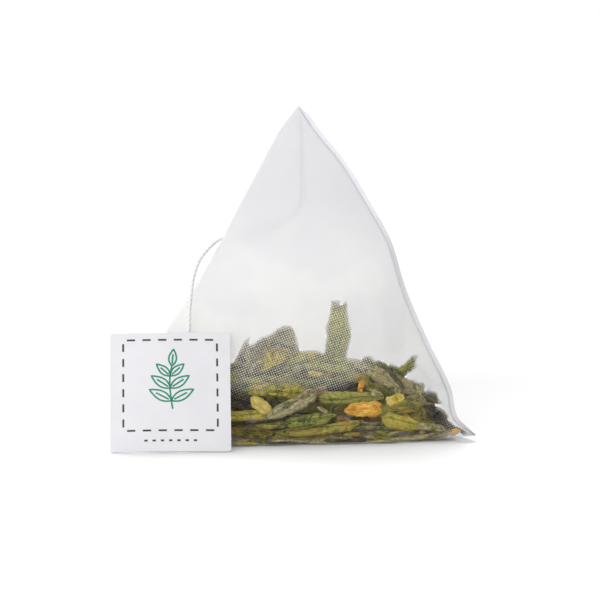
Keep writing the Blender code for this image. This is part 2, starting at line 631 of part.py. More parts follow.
def lay_leaves(pouch, parts, materials):
    """Every leaf, stalk and petal, laid on the floor of the pouch and on each other."""
    inner, shares = pouch_mesh(pouch, MESH_WALL)
    inner.verts.ensure_lookup_table()
    left, right, back, _apex = pouch.corners
    middle = 0.5 * (left + right) * [1.0, 1.0, 0.0]
    front = wall_field(pouch, inner, shares, Pouch.BACK, middle, left - right)
    right_wall = wall_field(pouch, inner, shares, Pouch.LEFT, right, back - right)
    left_wall = wall_field(pouch, inner, shares, Pouch.RIGHT, left, left - back)
    floor = wall_field(pouch, inner, shares, Pouch.APEX, np.zeros(3), np.array([1.0, 0.0, 0.0]))
    inner.free()
    bare_front = front.copy()
    heap = floor.copy()
    laid = []

    for number, piece in enumerate(FRONT_LEAVES):
        leaf = Leaf(piece.name, piece.finish, piece.blade, number)
        # The front wall's own frame looks into the pouch, so right and left change places in it
        spot = (-piece.along * MM, piece.up * MM)
        leaf.settle(front, (right_wall, left_wall, floor), spot, rotation("Z", -piece.turn), True)
        front.cover(leaf.placed_samples())
        laid.append(leaf)

    rng = random.Random(FILL_SEED)
    for number in range(FILL_COUNT):
        blade = Blade(
            rng.uniform(*FILL_LENGTHS), rng.uniform(*FILL_WIDTHS), rng.uniform(*FILL_THICKNESS),
            rng.uniform(0.0, 0.05), rng.uniform(-0.05, 0.05), rng.uniform(-14.0, 14.0), 0.35, 0.25,
        )
        finish = FILL_FINISHES[number % len(FILL_FINISHES)]
        leaf = Leaf(f"leaf_inside_{number + 1:02d}", finish, blade, number)
        best = None
        for _try in range(FILL_TRIES):
            share = sorted((rng.random(), rng.random()))
            mix = np.array([share[0], share[1] - share[0], 1.0 - share[1]])
            spot = (mix @ pouch.corners[:3])[:2] * FILL_SPREAD
            turned = rotation("Z", rng.uniform(0.0, 180.0))
            if leaf.settle(heap, (front, right_wall, left_wall), spot, turned, True):
                top = leaf.placed_samples()[:, 2].max()
                if best is None or top < best[0]:
                    best = (top, leaf.turn, leaf.place)
        _top, leaf.turn, leaf.place = best
        heap.cover(leaf.placed_samples())
        laid.append(leaf)

    for leaf in laid[:len(FRONT_LEAVES)]:
        heap.cover(leaf.placed_samples())
    for number, piece in enumerate(HEAP_LEAVES):
        leaf = Leaf(piece.name, piece.finish, piece.blade, number)
        own = rotation("Z", piece.turn) @ rotation("Y", -piece.pitch) @ rotation("X", piece.roll)
        leaf.settle(heap, (bare_front, right_wall, left_wall), (piece.x * MM, piece.y * MM), own, False)
        heap.cover(leaf.placed_samples())
        laid.append(leaf)

    return [leaf.finish_as_object(parts, materials) for leaf in laid]


def build_tag(pouch, parts, material):
    """The card, which stands on the table and leans back towards the front of the bag."""
    along = np.array([math.cos(TAG_TURN), math.sin(TAG_TURN), 0.0])
    back = np.array([-math.sin(TAG_TURN), math.cos(TAG_TURN), 0.0])
    up = math.cos(TAG_LEAN) * np.array([0.0, 0.0, 1.0]) + math.sin(TAG_LEAN) * back
    face_out = np.cross(along, up)
    foot = pouch.corners[Pouch.LEFT] * [1.0, 1.0, 0.0] + [TAG_FROM_LEFT_TIP, 0.0, 0.0]

    steps = np.linspace(0.0, 1.0, 61)
    rows = [(a, b, 0.0, 1.0 - a - b) for a in steps for b in steps if a + b <= 1.0 + 1e-9]
    skin = pouch.resting(rows) - foot
    height_up = skin[:, 2] / math.cos(TAG_LEAN)
    behind_tag = (np.abs(skin @ along) < 0.5 * TAG_WIDTH) & (height_up < TAG_HEIGHT)
    free = skin @ back - height_up * math.sin(TAG_LEAN)
    foot = foot + back * (free[behind_tag].min() - (TAG_STANDOFF + TAG_CARD) / math.cos(TAG_LEAN))
    foot[2] = TAG_CARD * math.sin(TAG_LEAN)

    bm = bmesh.new()
    bmesh.ops.create_cube(bm, size=1.0)
    bmesh.ops.scale(bm, verts=bm.verts, vec=(TAG_WIDTH, TAG_HEIGHT, TAG_CARD))
    tag = mesh_object("tag", bm, parts, material)
    whole = np.eye(4)
    whole[:3, :3] = np.column_stack([along, up, face_out])
    whole[:3, 3] = foot + 0.5 * TAG_HEIGHT * up - 0.5 * TAG_CARD * face_out
    tag.matrix_world = Matrix(whole.tolist())
    return tag


def smooth_route(knots, step):
    """Points one step apart on the smooth curve through the knots."""
    knots = np.array(knots)
    ends = [2.0 * knots[0] - knots[1]], knots, [2.0 * knots[-1] - knots[-2]]
    padded = np.concatenate(ends)
    fine = []
    for before, start, end, after in zip(padded, padded[1:], padded[2:], padded[3:]):
        for t in np.linspace(0.0, 1.0, 24, endpoint=False):
            bend = 2.0 * before - 5.0 * start + 4.0 * end - after
            curl = 3.0 * start - before - 3.0 * end + after
            fine.append(0.5 * (2.0 * start + (end - before) * t + bend * t * t + curl * t ** 3))
    fine = np.array(fine + [knots[-1]])
    run = np.concatenate([[0.0], np.cumsum(np.linalg.norm(np.diff(fine, axis=0), axis=1))])
    stops = np.linspace(0.0, run[-1], int(round(run[-1] / step)) + 1)
    return np.column_stack([np.interp(stops, run, fine[:, axis]) for axis in range(3)])


def build_string(parts, material):
    """The cotton string, as one round tube along its way."""
    curve = bpy.data.curves.new("string", "CURVE")
    curve.dimensions = "3D"
    curve.bevel_depth = 0.5 * STRING_DIAMETER
    curve.bevel_resolution = 2
    curve.use_fill_caps = True
    points = smooth_route(STRING_ROUTE, STRING_STEP / MM) * MM
    spline = curve.splines.new("POLY")
    spline.points.add(len(points) - 1)
    for place, point in zip(points, spline.points):
        point.co = (*place, 1.0)
    curve.materials.append(material)
    string = bpy.data.objects.new("string", curve)
    parts.objects.link(string)
    return string


def main():
    """Build every piece of the tea bag."""
    clear_scene()
    parts = new_collection("tea_bag")
    cutters = new_collection("cutters")
    materials = {name: principled(name, rgb, rough) for name, (rgb, rough) in FINISHES.items()}
    pouch = Pouch()
    build_bag(pouch, parts, cutters, materials["woven_mesh"])
    lay_leaves(pouch, parts, materials)
    build_tag(pouch, parts, materials["card"])
    build_string(parts, materials["cotton"])


if __name__ == "__main__":
    main()
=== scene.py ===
"""Looks of the pyramid tea bag: gauze pouch, dried leaves and petals, cotton string and card tag.

Metres, +Z up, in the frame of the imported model. The front of the bag faces -Y.
"""

import logging
import math
import random
from dataclasses import dataclass
from enum import Enum, IntEnum, auto
from typing import Any, Optional, Sequence, Union

import bmesh
import bpy
import numpy as np
from bmesh.types import BMEdge, BMesh
from bpy.types import Material, Mesh, NodeSocket, Object, World
from mathutils import Euler, Matrix, Vector, noise
from mathutils.bvhtree import BVHTree
from numpy import ndarray


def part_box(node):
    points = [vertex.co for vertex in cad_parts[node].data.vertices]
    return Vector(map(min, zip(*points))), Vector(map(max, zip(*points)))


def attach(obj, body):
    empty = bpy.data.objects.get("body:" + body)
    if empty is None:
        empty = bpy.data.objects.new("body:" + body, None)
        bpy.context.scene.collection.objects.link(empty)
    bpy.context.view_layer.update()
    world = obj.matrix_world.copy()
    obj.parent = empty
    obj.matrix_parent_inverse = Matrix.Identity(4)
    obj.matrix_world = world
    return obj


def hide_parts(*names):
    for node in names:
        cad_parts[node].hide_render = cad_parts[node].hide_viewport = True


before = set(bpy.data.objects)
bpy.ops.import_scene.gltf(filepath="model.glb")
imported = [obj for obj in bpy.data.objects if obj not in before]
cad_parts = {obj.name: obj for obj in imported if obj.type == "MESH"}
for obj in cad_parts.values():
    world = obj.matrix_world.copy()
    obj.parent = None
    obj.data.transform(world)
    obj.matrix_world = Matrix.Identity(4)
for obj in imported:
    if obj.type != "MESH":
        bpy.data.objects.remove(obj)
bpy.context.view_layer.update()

LOG = logging.getLogger("tea_bag")
MM = 0.001
BODY = "root"
# Points closer together than this are one point
SAME_POINT = 1e-6
# An edge of a starting shape runs along an axis if it is longer than this that way
LONG_RUN = 0.5
# The least and most that a noise texture gives, but for rare spots
NOISE_SPAN = (0.3, 0.7)
Colour = tuple[float, float, float, float]
# Two values that belong together, mostly from and to
Pair = tuple[float, float]
# Places and heights of a curve's points, in order of place
Knots = Sequence[tuple[float, float]]
Rows = Sequence[tuple[float, ...]]
Pieces = Sequence[Object]
# The slots that pieces fall to, and the share of each
Shares = Sequence[tuple[str, float]]


def linear(hex_colour: str) -> Colour:
    """Turn an sRGB colour such as "#8C9A3A" into linear light.

    Args:
        hex_colour: The colour as six hex digits after a hash.

    Returns:
        Red, green, blue and an alpha of 1.
    """
    parts = [int(hex_colour[i:i + 2], 16) / 255.0 for i in (1, 3, 5)]
    light = [c / 12.92 if c <= 0.04045 else ((c + 0.055) / 1.055) ** 2.4 for c in parts]
    return (light[0], light[1], light[2], 1.0)


def smooth_profile(knots: Knots, t: ndarray) -> ndarray:
    """Read a smooth curve through the knots.

    Args:
        knots: Pairs of place and height, in order of place.
        t: The places to read it at.

    Returns:
        The height at each place.
    """
    places, heights = np.transpose(knots)
    slopes = np.gradient(heights, places)
    i = np.clip(np.searchsorted(places, t, side="right") - 1, 0, len(knots) - 2)
    span = places[i + 1] - places[i]
    f = (t - places[i]) / span
    rise = f * f * (3.0 - 2.0 * f)
    lead = f * (1.0 - f) ** 2 * slopes[i]
    trail = f * f * (f - 1.0) * slopes[i + 1]
    return heights[i] + (heights[i + 1] - heights[i]) * rise + (lead + trail) * span


def smooth_curve(points: Sequence[ndarray], f: ndarray) -> ndarray:
    """Read the smooth curve between the middle two of four points.

    Args:
        points: The point before, the start, the end and the point after.
        f: How far from the start to the end, from 0 to 1.

    Returns:
        The place on the curve.
    """
    before, start, end, after = points
    bend = 2.0 * before - 5.0 * start + 4.0 * end - after
    curl = 3.0 * start - before - 3.0 * end + after
    return 0.5 * (2.0 * start + (end - before) * f + bend * f ** 2 + curl * f ** 3)


def smooth_step(low: float, high: float, value: ndarray) -> ndarray:
    """Rise smoothly from 0 at low to 1 at high, for each value."""
    t = np.clip((value - low) / (high - low), 0.0, 1.0)
    return t * t * (3.0 - 2.0 * t)


def unit(vector: ndarray) -> ndarray:
    """The same direction with a length of 1."""
    return vector / np.linalg.norm(vector)


def unit_rows(rows: ndarray) -> ndarray:
    """Each row's direction with a length of 1."""
    return rows / np.linalg.norm(rows, axis=1)[:, None]


def noise_at(*columns: Any) -> ndarray:
    """Smooth noise from about -1 to 1 at three coordinates, each a column or one number for every row."""
    return np.array([noise.noise(Vector(place)) for place in np.column_stack(np.broadcast_arrays(*columns))])


def turned(axis: str, angle: float) -> ndarray:
    """A rotation about one axis, as three rows of three."""
    return np.array(Matrix.Rotation(angle, 3, axis))


def points_of(thing: Union[BMesh, Mesh]) -> ndarray:
    """The vertices of a mesh, as rows."""
    vertices = thing.verts if isinstance(thing, BMesh) else thing.vertices
    return np.array([v.co[:] for v in vertices])


def runs_along(bm: BMesh, axis: int) -> list[BMEdge]:
    """The edges of a starting shape that run along one axis."""
    return [e for e in bm.edges if abs(e.verts[0].co[axis] - e.verts[1].co[axis]) > LONG_RUN]


class Graph:
    """The nodes of one material, or of the room's light."""

    def __init__(self, owner: Union[Material, World], output: str) -> None:
        """Start an empty tree of nodes.

        Args:
            owner: The material or world that they belong to.
            output: The type of its output node, without the leading ShaderNode.
        """
        owner.use_nodes = True
        self.owner, self.tree = owner, owner.node_tree
        self.tree.nodes.clear()
        self.output = self.tree.nodes.new("ShaderNode" + output)

    @classmethod
    def of_material(cls, name: str) -> "Graph":
        """Start a new material of this name."""
        return cls(bpy.data.materials.new(name), "OutputMaterial")

    def add(self, kind: str, *values: Any, out: Any = 0, named: Optional[dict[str, Any]] = None,
            stops: Sequence[tuple[float, Colour]] = (), **settings: Any) -> NodeSocket:
        """Add one node with its settings and links.

        Args:
            kind: The node's Blender type, without its leading ShaderNode.
            values: A socket to link or a plain value for each input in order, or None to skip it.
            out: The number or name of the output to return.
            named: Sockets or plain values for inputs by their name.
            stops: The places and colours of a colour ramp, in order.
            settings: The node's own settings.

        Returns:
            The output socket asked for.
        """
        node = self.tree.nodes.new("ShaderNode" + kind)
        for key, value in settings.items():
            setattr(node, key, value)
        for _extra in stops[2:]:
            node.color_ramp.elements.new(1.0)
        for i, (place, tone) in enumerate(stops):
            element = node.color_ramp.elements[i]
            element.position, element.color = place, tone
        pairs = [(node.inputs[i], value) for i, value in enumerate(values)]
        pairs += [(node.inputs[key], value) for key, value in (named or {}).items()]
        for socket, value in pairs:
            if isinstance(value, NodeSocket):
                self.tree.links.new(value, socket)
            elif value is not None:
                socket.default_value = value
        return node.outputs[out]

    def finish(self, surface: NodeSocket) -> Union[Material, World]:
        """Link the last shader to the output, and return the finished material or world."""
        self.tree.links.new(surface, self.output.inputs["Surface"])
        return self.owner


def make_object(name: str, bm: BMesh, materials: Sequence[Material],
                smooth: bool = True) -> Object:
    """Turn a bmesh into an object at the origin.

    Args:
        name: The piece's name.
        bm: Its mesh, which is freed.
        materials: Its materials, one for each slot.
        smooth: Whether its faces are shaded smooth.

    Returns:
        The object, in the scene's own collection.
    """
    for face in bm.faces:
        face.smooth = smooth
    mesh = bpy.data.meshes.new(name)
    bm.to_mesh(mesh)
    bm.free()
    for material in materials:
        mesh.materials.append(material)
    made = bpy.data.objects.new(name, mesh)
    bpy.context.scene.collection.objects.link(made)
    return made


def hand_in(piece: Object, slot: str, *nodes: str) -> None:
    """Let a finished piece ride on the bag, hide the CAD nodes that it stands for, and log its slot.

    Args:
        piece: The finished piece.
        slot: Its material slot, which is only logged.
        nodes: The CAD nodes that it replaces.
    """
    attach(piece, BODY)
    if nodes:
        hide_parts(*nodes)
    LOG.info("%s: %d faces, slot %s, stands for %s", piece.name, len(piece.data.polygons), slot,
             ", ".join(nodes) or "no node of its own")


def merged_copy(node: str) -> BMesh:
    """Copy a CAD node's mesh and close its loose triangles.

    Args:
        node: The CAD node's name.

    Returns:
        Its mesh in world metres.
    """
    bm = bmesh.new()
    bm.from_mesh(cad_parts[node].data)
    bmesh.ops.remove_doubles(bm, verts=bm.verts, dist=SAME_POINT)
    return bm


def tree_of(pieces: Pieces) -> BVHTree:
    """Sort the faces of several pieces for searching.

    Args:
        pieces: The finished pieces.

    Returns:
        The search tree.
    """
    bm = bmesh.new()
    for piece in pieces:
        bm.from_mesh(piece.data)
    tree = BVHTree.FromBMesh(bm)
    bm.free()
    return tree


# ---------------------------------------------------------------- camera and studio


@dataclass(frozen=True)
class Viewpoint:
    """The camera, low in front of the bag, with lengths in metres and places in pixels."""

    elevation: float = math.radians(11.0)
    distance: float = 0.560
    focal_px: float = 3035.2
    frame_px: float = 600.0
    sensor_mm: float = 36.0
    aim: tuple[float, float, float] = (-0.00003, -0.02638, 0.0)
    aim_px: tuple[float, float] = (296.5, 444.5)
    nearest: float = 0.01

    def view(self) -> Vector:
        """The direction in which the bag's front edge is seen."""
        return Vector((0.0, math.cos(self.elevation), -math.sin(self.elevation)))

    def eye(self) -> Vector:
        """The point that the bag is seen from."""
        return Vector(self.aim) - self.view() * self.distance

    def place(self) -> None:
        """Make the scene's camera, turned so that the middle of the bag's front edge falls on its own pixel."""
        right_px = self.frame_px / 2.0 - self.aim_px[0]
        up_px = self.aim_px[1] - self.frame_px / 2.0
        look_down = self.elevation - math.atan2(up_px, self.focal_px)
        turn = -math.atan2(right_px, self.focal_px)

        data = bpy.data.cameras.new("camera")
        data.sensor_width = self.sensor_mm
        data.lens = self.sensor_mm * self.focal_px / self.frame_px
        data.clip_start = self.nearest
        camera = bpy.data.objects.new("camera", data)
        camera.location = self.eye()
        camera.rotation_euler = Euler((math.pi / 2.0 - look_down, 0.0, turn), "XYZ")
        bpy.context.scene.collection.objects.link(camera)
        bpy.context.scene.camera = camera


@dataclass(frozen=True)
class Lamp:
    """One soft lamp, so far away that it lights everything alike."""

    name: str
    towards: tuple[float, float, float]
    strength: float
    softness: float

    def hang(self) -> None:
        """Add the lamp to the scene."""
        data = bpy.data.lights.new(self.name, "SUN")
        data.energy = self.strength
        data.angle = self.softness
        lamp = bpy.data.objects.new(self.name, data)
        lamp.rotation_euler = Vector(self.towards).to_track_quat("-Z", "Y").to_euler()
        bpy.context.scene.collection.objects.link(lamp)


@dataclass(frozen=True)
class Studio:
    """A white table in an even white room with two soft lamps."""

    room_light: float = 0.32
    room_white: Colour = (1.0, 1.0, 1.0, 1.0)
    table_radius: float = 1.5
    table_sides: int = 96
    # The table is whole up to the first distance and gone from the second, in metres
    fade: Pair = (0.45, 1.3)
    table_tone: str = "#DCDCDC"
    lamps: tuple[Lamp, ...] = (
        Lamp("key_lamp", (0.20, -0.60, -1.0), 2.15, math.radians(28.0)),
        Lamp("fill_lamp", (0.60, 0.90, -0.12), 2.65, math.radians(70.0)),
    )

    def seen_directly(self, graph: Graph) -> NodeSocket:
        """Tell what is seen from what only lights things.

        Args:
            graph: The nodes that ask.

        Returns:
            A factor of 1 for what the camera, a gloss or a glass sees, and 0 for the rest.
        """
        path = graph.add("LightPath").node
        gloss = graph.add("Math", path.outputs["Is Camera Ray"], path.outputs["Is Glossy Ray"], operation="MAXIMUM")
        return graph.add("Math", gloss, path.outputs["Is Transmission Ray"], operation="MAXIMUM")

    def table_material(self) -> Material:
        """White laminate under soft light.

        Returns:
            A material that shows as the white room, and keeps the bag's shadow.
        """
        graph = Graph.of_material("white_table")
        colour = graph.add("Mix", named={"Factor": self.seen_directly(graph), "A": linear(self.table_tone),
                                         "B": self.room_white}, data_type="RGBA", out="Result")
        top = graph.add("BsdfDiffuse", colour)
        reach = graph.add("VectorMath", graph.add("TexCoord", out="Object"), operation="LENGTH", out="Value")
        gone = graph.add("MapRange", reach, *self.fade, 0.0, 1.0, interpolation_type="SMOOTHSTEP")
        return graph.finish(graph.add("MixShader", gone, top, graph.add("BsdfTransparent")))

    def room(self) -> World:
        """Make an even white room.

        Returns:
            A world that is bright where it is seen and dimmer where it only lights the bag.
        """
        graph = Graph(bpy.data.worlds.new("room"), "OutputWorld")
        level = graph.add("MapRange", self.seen_directly(graph), 0.0, 1.0, self.room_light, 1.0)
        return graph.finish(graph.add("Background", self.room_white, level))

    def build(self) -> None:
        """Make the table, the room's light and the lamps."""
        bm = bmesh.new()
        bmesh.ops.create_circle(bm, cap_ends=True, segments=self.table_sides, radius=self.table_radius)
        table = make_object("table", bm, [self.table_material()], smooth=False)
        bpy.context.scene.world = self.room()
        for lamp in self.lamps:
            lamp.hang()
        bpy.context.scene.view_settings.view_transform = "Standard"


# ---------------------------------------------------------------- string


@dataclass(frozen=True)
class CottonFinish:
    """Bleached two-ply cotton string, twisted: matt, soft, and a little fuzzy, with painted shade between its plies."""

    light: str = "#FDFCFB"
    shade: str = "#E0DEDC"
    fibre_mm: float = 0.12
    # How much of the tone comes from the plies, and the rest from the fibres
    ply_share: float = 0.75
    shade_until: float = 0.1
    light_from: float = 0.75
    relief: float = 0.04 * MM
    roughness: float = 0.9

    def material(self) -> Material:
        """Make the string's material.

        Returns:
            Cotton with painted shade between its plies, and uneven with fibres.
        """
        graph = Graph.of_material("bleached_cotton")
        place = graph.add("TexCoord", out="Object")
        ply = graph.add("Attribute", attribute_name="ply_depth", out="Fac")
        fibres = graph.add("TexNoise", place, named={"Scale": 1.0 / (self.fibre_mm * MM), "Detail": 3.0}, out="Fac")
        fuzz = graph.add("Math", fibres, 1.0 - self.ply_share, operation="MULTIPLY")
        depth = graph.add("Math", ply, self.ply_share, fuzz, operation="MULTIPLY_ADD")
        # The colour darkens from each ply's crown to the waist between the plies: painted shade
        stops = ((self.shade_until, linear(self.shade)), (self.light_from, linear(self.light)))
        return graph.finish(graph.add("BsdfPrincipled", named={
            "Base Color": graph.add("ValToRGB", depth, stops=stops),
            "Normal": graph.add("Bump", named={"Strength": 0.5, "Distance": self.relief, "Height": fibres},
                                out="Normal"),
            "Roughness": self.roughness, "Sheen Weight": 0.25, "Sheen Roughness": 0.5,
        }))


@dataclass
class CottonString:
    """The string: out of the bag's top, down the back, round the left edge and down to the tag's back."""

    finish: CottonFinish = CottonFinish()
    diameter: float = 0.7 * MM
    length: float = 0.115
    sides: int = 18
    turn_length: float = 1.9 * MM
    # The thickness between the two plies, as a share of the whole, and how round each ply is
    waist: float = 0.62
    ply_round: float = 0.8
    step: float = 0.11 * MM
    declared_step: float = 1.75 * MM
    cuts: int = 24
    route_mm: Rows = (
        (0.6, -0.6, 58.9), (0.8, 1.45, 55.8), (0.8, 4.25, 51.3), (0.9, 7.25, 46.2), (0.5, 10.05, 41.4),
        (-1.3, 10.45, 38.4), (-5.2, 6.35, 37.1), (-9.2, 0.25, 36.7), (-12.3, -6.05, 36.4),
        (-14.7, -11.85, 36.1), (-16.3, -15.25, 35.1), (-17.9, -17.35, 33.3), (-19.0, -18.95, 30.6),
        (-19.5, -20.35, 27.5), (-19.8, -21.45, 24.2), (-19.9, -22.65, 20.8), (-19.9, -24.35, 17.0),
        (-19.8, -26.35, 12.6), (-19.8, -28.25, 8.2), (-20.1, -29.75, 4.2), (-21.4, -30.3, 1.5),
        (-23.8, -30.2, 0.45), (-26.8, -30.1, 0.42), (-28.9, -30.15, 0.42), (-30.05, -30.6, 0.42),
        (-30.5, -31.63, 0.42), (-30.05, -32.66, 0.42), (-28.9, -33.1, 0.42), (-26.6, -32.95, 0.6),
        (-24.9, -32.25, 1.8), (-24.1, -31.05, 3.9), (-23.9, -29.8, 6.4),
    )

    def way(self, step: float) -> ndarray:
        """Walk the smooth curve through the route.

        Args:
            step: The distance between points, in metres.

        Returns:
            The points, in metres.
        """
        knots = np.array(self.route_mm) * MM
        padded = np.concatenate([[2.0 * knots[0] - knots[1]], knots, [2.0 * knots[-1] - knots[-2]]])
        t = np.linspace(0.0, 1.0, self.cuts, endpoint=False)[:, None]
        fine = [smooth_curve(four, t) for four in zip(padded, padded[1:], padded[2:], padded[3:])]
        points = np.concatenate(fine + [knots[-1:]])
        run = np.concatenate([[0.0], np.cumsum(np.linalg.norm(np.diff(points, axis=0), axis=1))])
        stops = np.linspace(0.0, run[-1], int(round(run[-1] / step)) + 1)
        return np.column_stack([np.interp(stops, run, points[:, axis]) for axis in range(3)])

    def build(self) -> Object:
        """Sweep a two-lobed, turning section along the route.

        Returns:
            The string, one closed tube with a ply_depth attribute.
        """
        points = self.way(self.step)
        ahead = unit_rows(np.gradient(points, axis=0))
        side = np.zeros_like(points)
        side[0] = unit(np.cross(ahead[0], [1.0, 0.0, 0.0]))
        for i in range(1, len(points)):
            side[i] = unit(side[i - 1] - np.dot(side[i - 1], ahead[i]) * ahead[i])
        over = np.cross(ahead, side)

        bm = bmesh.new()
        bmesh.ops.create_cone(bm, cap_ends=True, segments=self.sides, radius1=1.0, radius2=1.0, depth=1.0)
        bmesh.ops.subdivide_edges(bm, edges=runs_along(bm, 2), cuts=len(points) - 2, use_grid_fill=True)
        depth = bm.verts.layers.float.new("ply_depth")
        for vert in bm.verts:
            i = int(round((vert.co.z + 0.5) * (len(points) - 1)))
            angle = math.atan2(vert.co.y, vert.co.x)
            vert[depth] = lobe = abs(math.cos(angle)) ** self.ply_round
            radius = 0.5 * self.diameter * (self.waist + (1.0 - self.waist) * lobe)
            angle += 2.0 * math.pi * i * self.step / self.turn_length
            vert.co = points[i] + radius * (math.cos(angle) * side[i] + math.sin(angle) * over[i])
        bmesh.ops.recalc_face_normals(bm, faces=bm.faces)
        return make_object("cotton_string", bm, [self.finish.material()])

    def declare(self, string: Object, tag: Object) -> None:
        """Work out points along the cord's route at a coarser step, which are not used further.

        Args:
            string: The finished string, which is not used.
            tag: The card on its far end, which is not used.
        """
        path = [tuple(p) for p in self.way(self.declared_step)]


# ---------------------------------------------------------------- tag


@dataclass(frozen=True)
class CardFinish:
    """Coated white board, die-cut: smooth and nearly matt, with a soft satin and a faint paper tooth."""

    face: str = "#F6F5F9"
    shade: str = "#F2F2F6"
    fibre_mm: float = 0.5
    # Faint clouds in the white, about 6 mm across
    cloud_scale: float = 160.0
    cloud: Pair = (0.35, 0.65)
    relief: float = 0.03 * MM
    roughness: Pair = (0.45, 0.6)

    def material(self) -> Material:
        """Make the board's material.

        Returns:
            White board with faint clouds and a paper tooth.
        """
        graph = Graph.of_material("coated_board")
        place = graph.add("TexCoord", out="Object")
        cloud = graph.add("TexNoise", place, named={"Scale": self.cloud_scale, "Detail": 4.0}, out="Fac")
        tooth = graph.add("TexNoise", place, named={"Scale": 1.0 / (self.fibre_mm * MM), "Detail": 5.0}, out="Fac")
        stops = tuple(zip(self.cloud, (linear(self.shade), linear(self.face))))
        return graph.finish(graph.add("BsdfPrincipled", named={
            "Base Color": graph.add("ValToRGB", cloud, stops=stops),
            "Roughness": graph.add("MapRange", tooth, *NOISE_SPAN, *self.roughness),
            "Normal": graph.add("Bump", named={"Strength": 0.12, "Distance": self.relief, "Height": tooth},
                                out="Normal"),
            "Specular IOR Level": 0.35,
        }))


@dataclass(frozen=True)
class InkFinish:
    """Flat offset ink on coated board: an even colour, a little glossier than the board, thin at its edges."""

    name: str
    ink: str
    thin: str
    # Mottling of about 0.4 mm, where the ink lies thinner
    mottle_scale: float = 2600.0
    mottle: Pair = (0.3, 0.75)
    roughness: float = 0.42

    def material(self) -> Material:
        """Make the ink's material.

        Returns:
            Ink that is thinner in small spots.
        """
        graph = Graph.of_material(self.name)
        mottle = graph.add("TexNoise", graph.add("TexCoord", out="Object"),
                           named={"Scale": self.mottle_scale, "Detail": 2.0}, out="Fac")
        stops = tuple(zip(self.mottle, (linear(self.ink), linear(self.thin))))
        return graph.finish(graph.add("BsdfPrincipled", named={
            "Base Color": graph.add("ValToRGB", mottle, stops=stops), "Roughness": self.roughness,
        }))


@dataclass
class CardTag:
    """The square tag, which stands on the table and leans back towards the bag."""

    finish: CardFinish = CardFinish()
    width: float = 22.0 * MM
    height: float = 22.5 * MM
    card: float = 0.35 * MM
    lean: float = math.radians(26.0)
    turn: float = math.radians(2.5)
    bow: float = 0.55 * MM
    # The rounding of the four corners, as a share of a side
    corner: float = 0.02
    corner_cuts: int = 3
    cuts: int = 30

    def __post_init__(self) -> None:
        """Find the tag's own frame from its CAD node."""
        low, high = (np.array(corner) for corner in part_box("tag"))
        self.along = np.array([math.cos(self.turn), math.sin(self.turn), 0.0])
        back = np.array([-math.sin(self.turn), math.cos(self.turn), 0.0])
        self.up = math.cos(self.lean) * np.array([0.0, 0.0, 1.0]) + math.sin(self.lean) * back
        self.out = np.cross(self.along, self.up)
        self.middle = 0.5 * (low + high)

    def at(self, x: float, y: float, off: float) -> Vector:
        """A point of the bowed card in the world: right and up from its middle, and off its front face."""
        crown = self.bow * (1.0 - (2.0 * x / self.width) ** 2)
        return Vector(self.middle + x * self.along + y * self.up + (0.5 * self.card + crown + off) * self.out)

    def build(self) -> Object:
        """Make the card as a thin bowed board.

        Returns:
            The card.
        """
        bm = bmesh.new()
        bmesh.ops.create_cube(bm, size=1.0)
        bmesh.ops.bevel(bm, geom=runs_along(bm, 2), offset=self.corner, offset_type="OFFSET",
                        segments=self.corner_cuts, profile=0.5, affect="EDGES", material=-1)
        for axis in (Vector((1.0, 0.0, 0.0)), Vector((0.0, 1.0, 0.0))):
            for i in range(1, self.cuts):
                everything = bm.verts[:] + bm.edges[:] + bm.faces[:]
                bmesh.ops.bisect_plane(bm, geom=everything, plane_co=axis * (i / self.cuts - 0.5), plane_no=axis)
        for vert in bm.verts:
            off = 0.0 if vert.co.z > 0.0 else -self.card
            vert.co = self.at(vert.co.x * self.width, vert.co.y * self.height, off)
        bmesh.ops.recalc_face_normals(bm, faces=bm.faces)
        return make_object("card_tag", bm, [self.finish.material()], smooth=False)


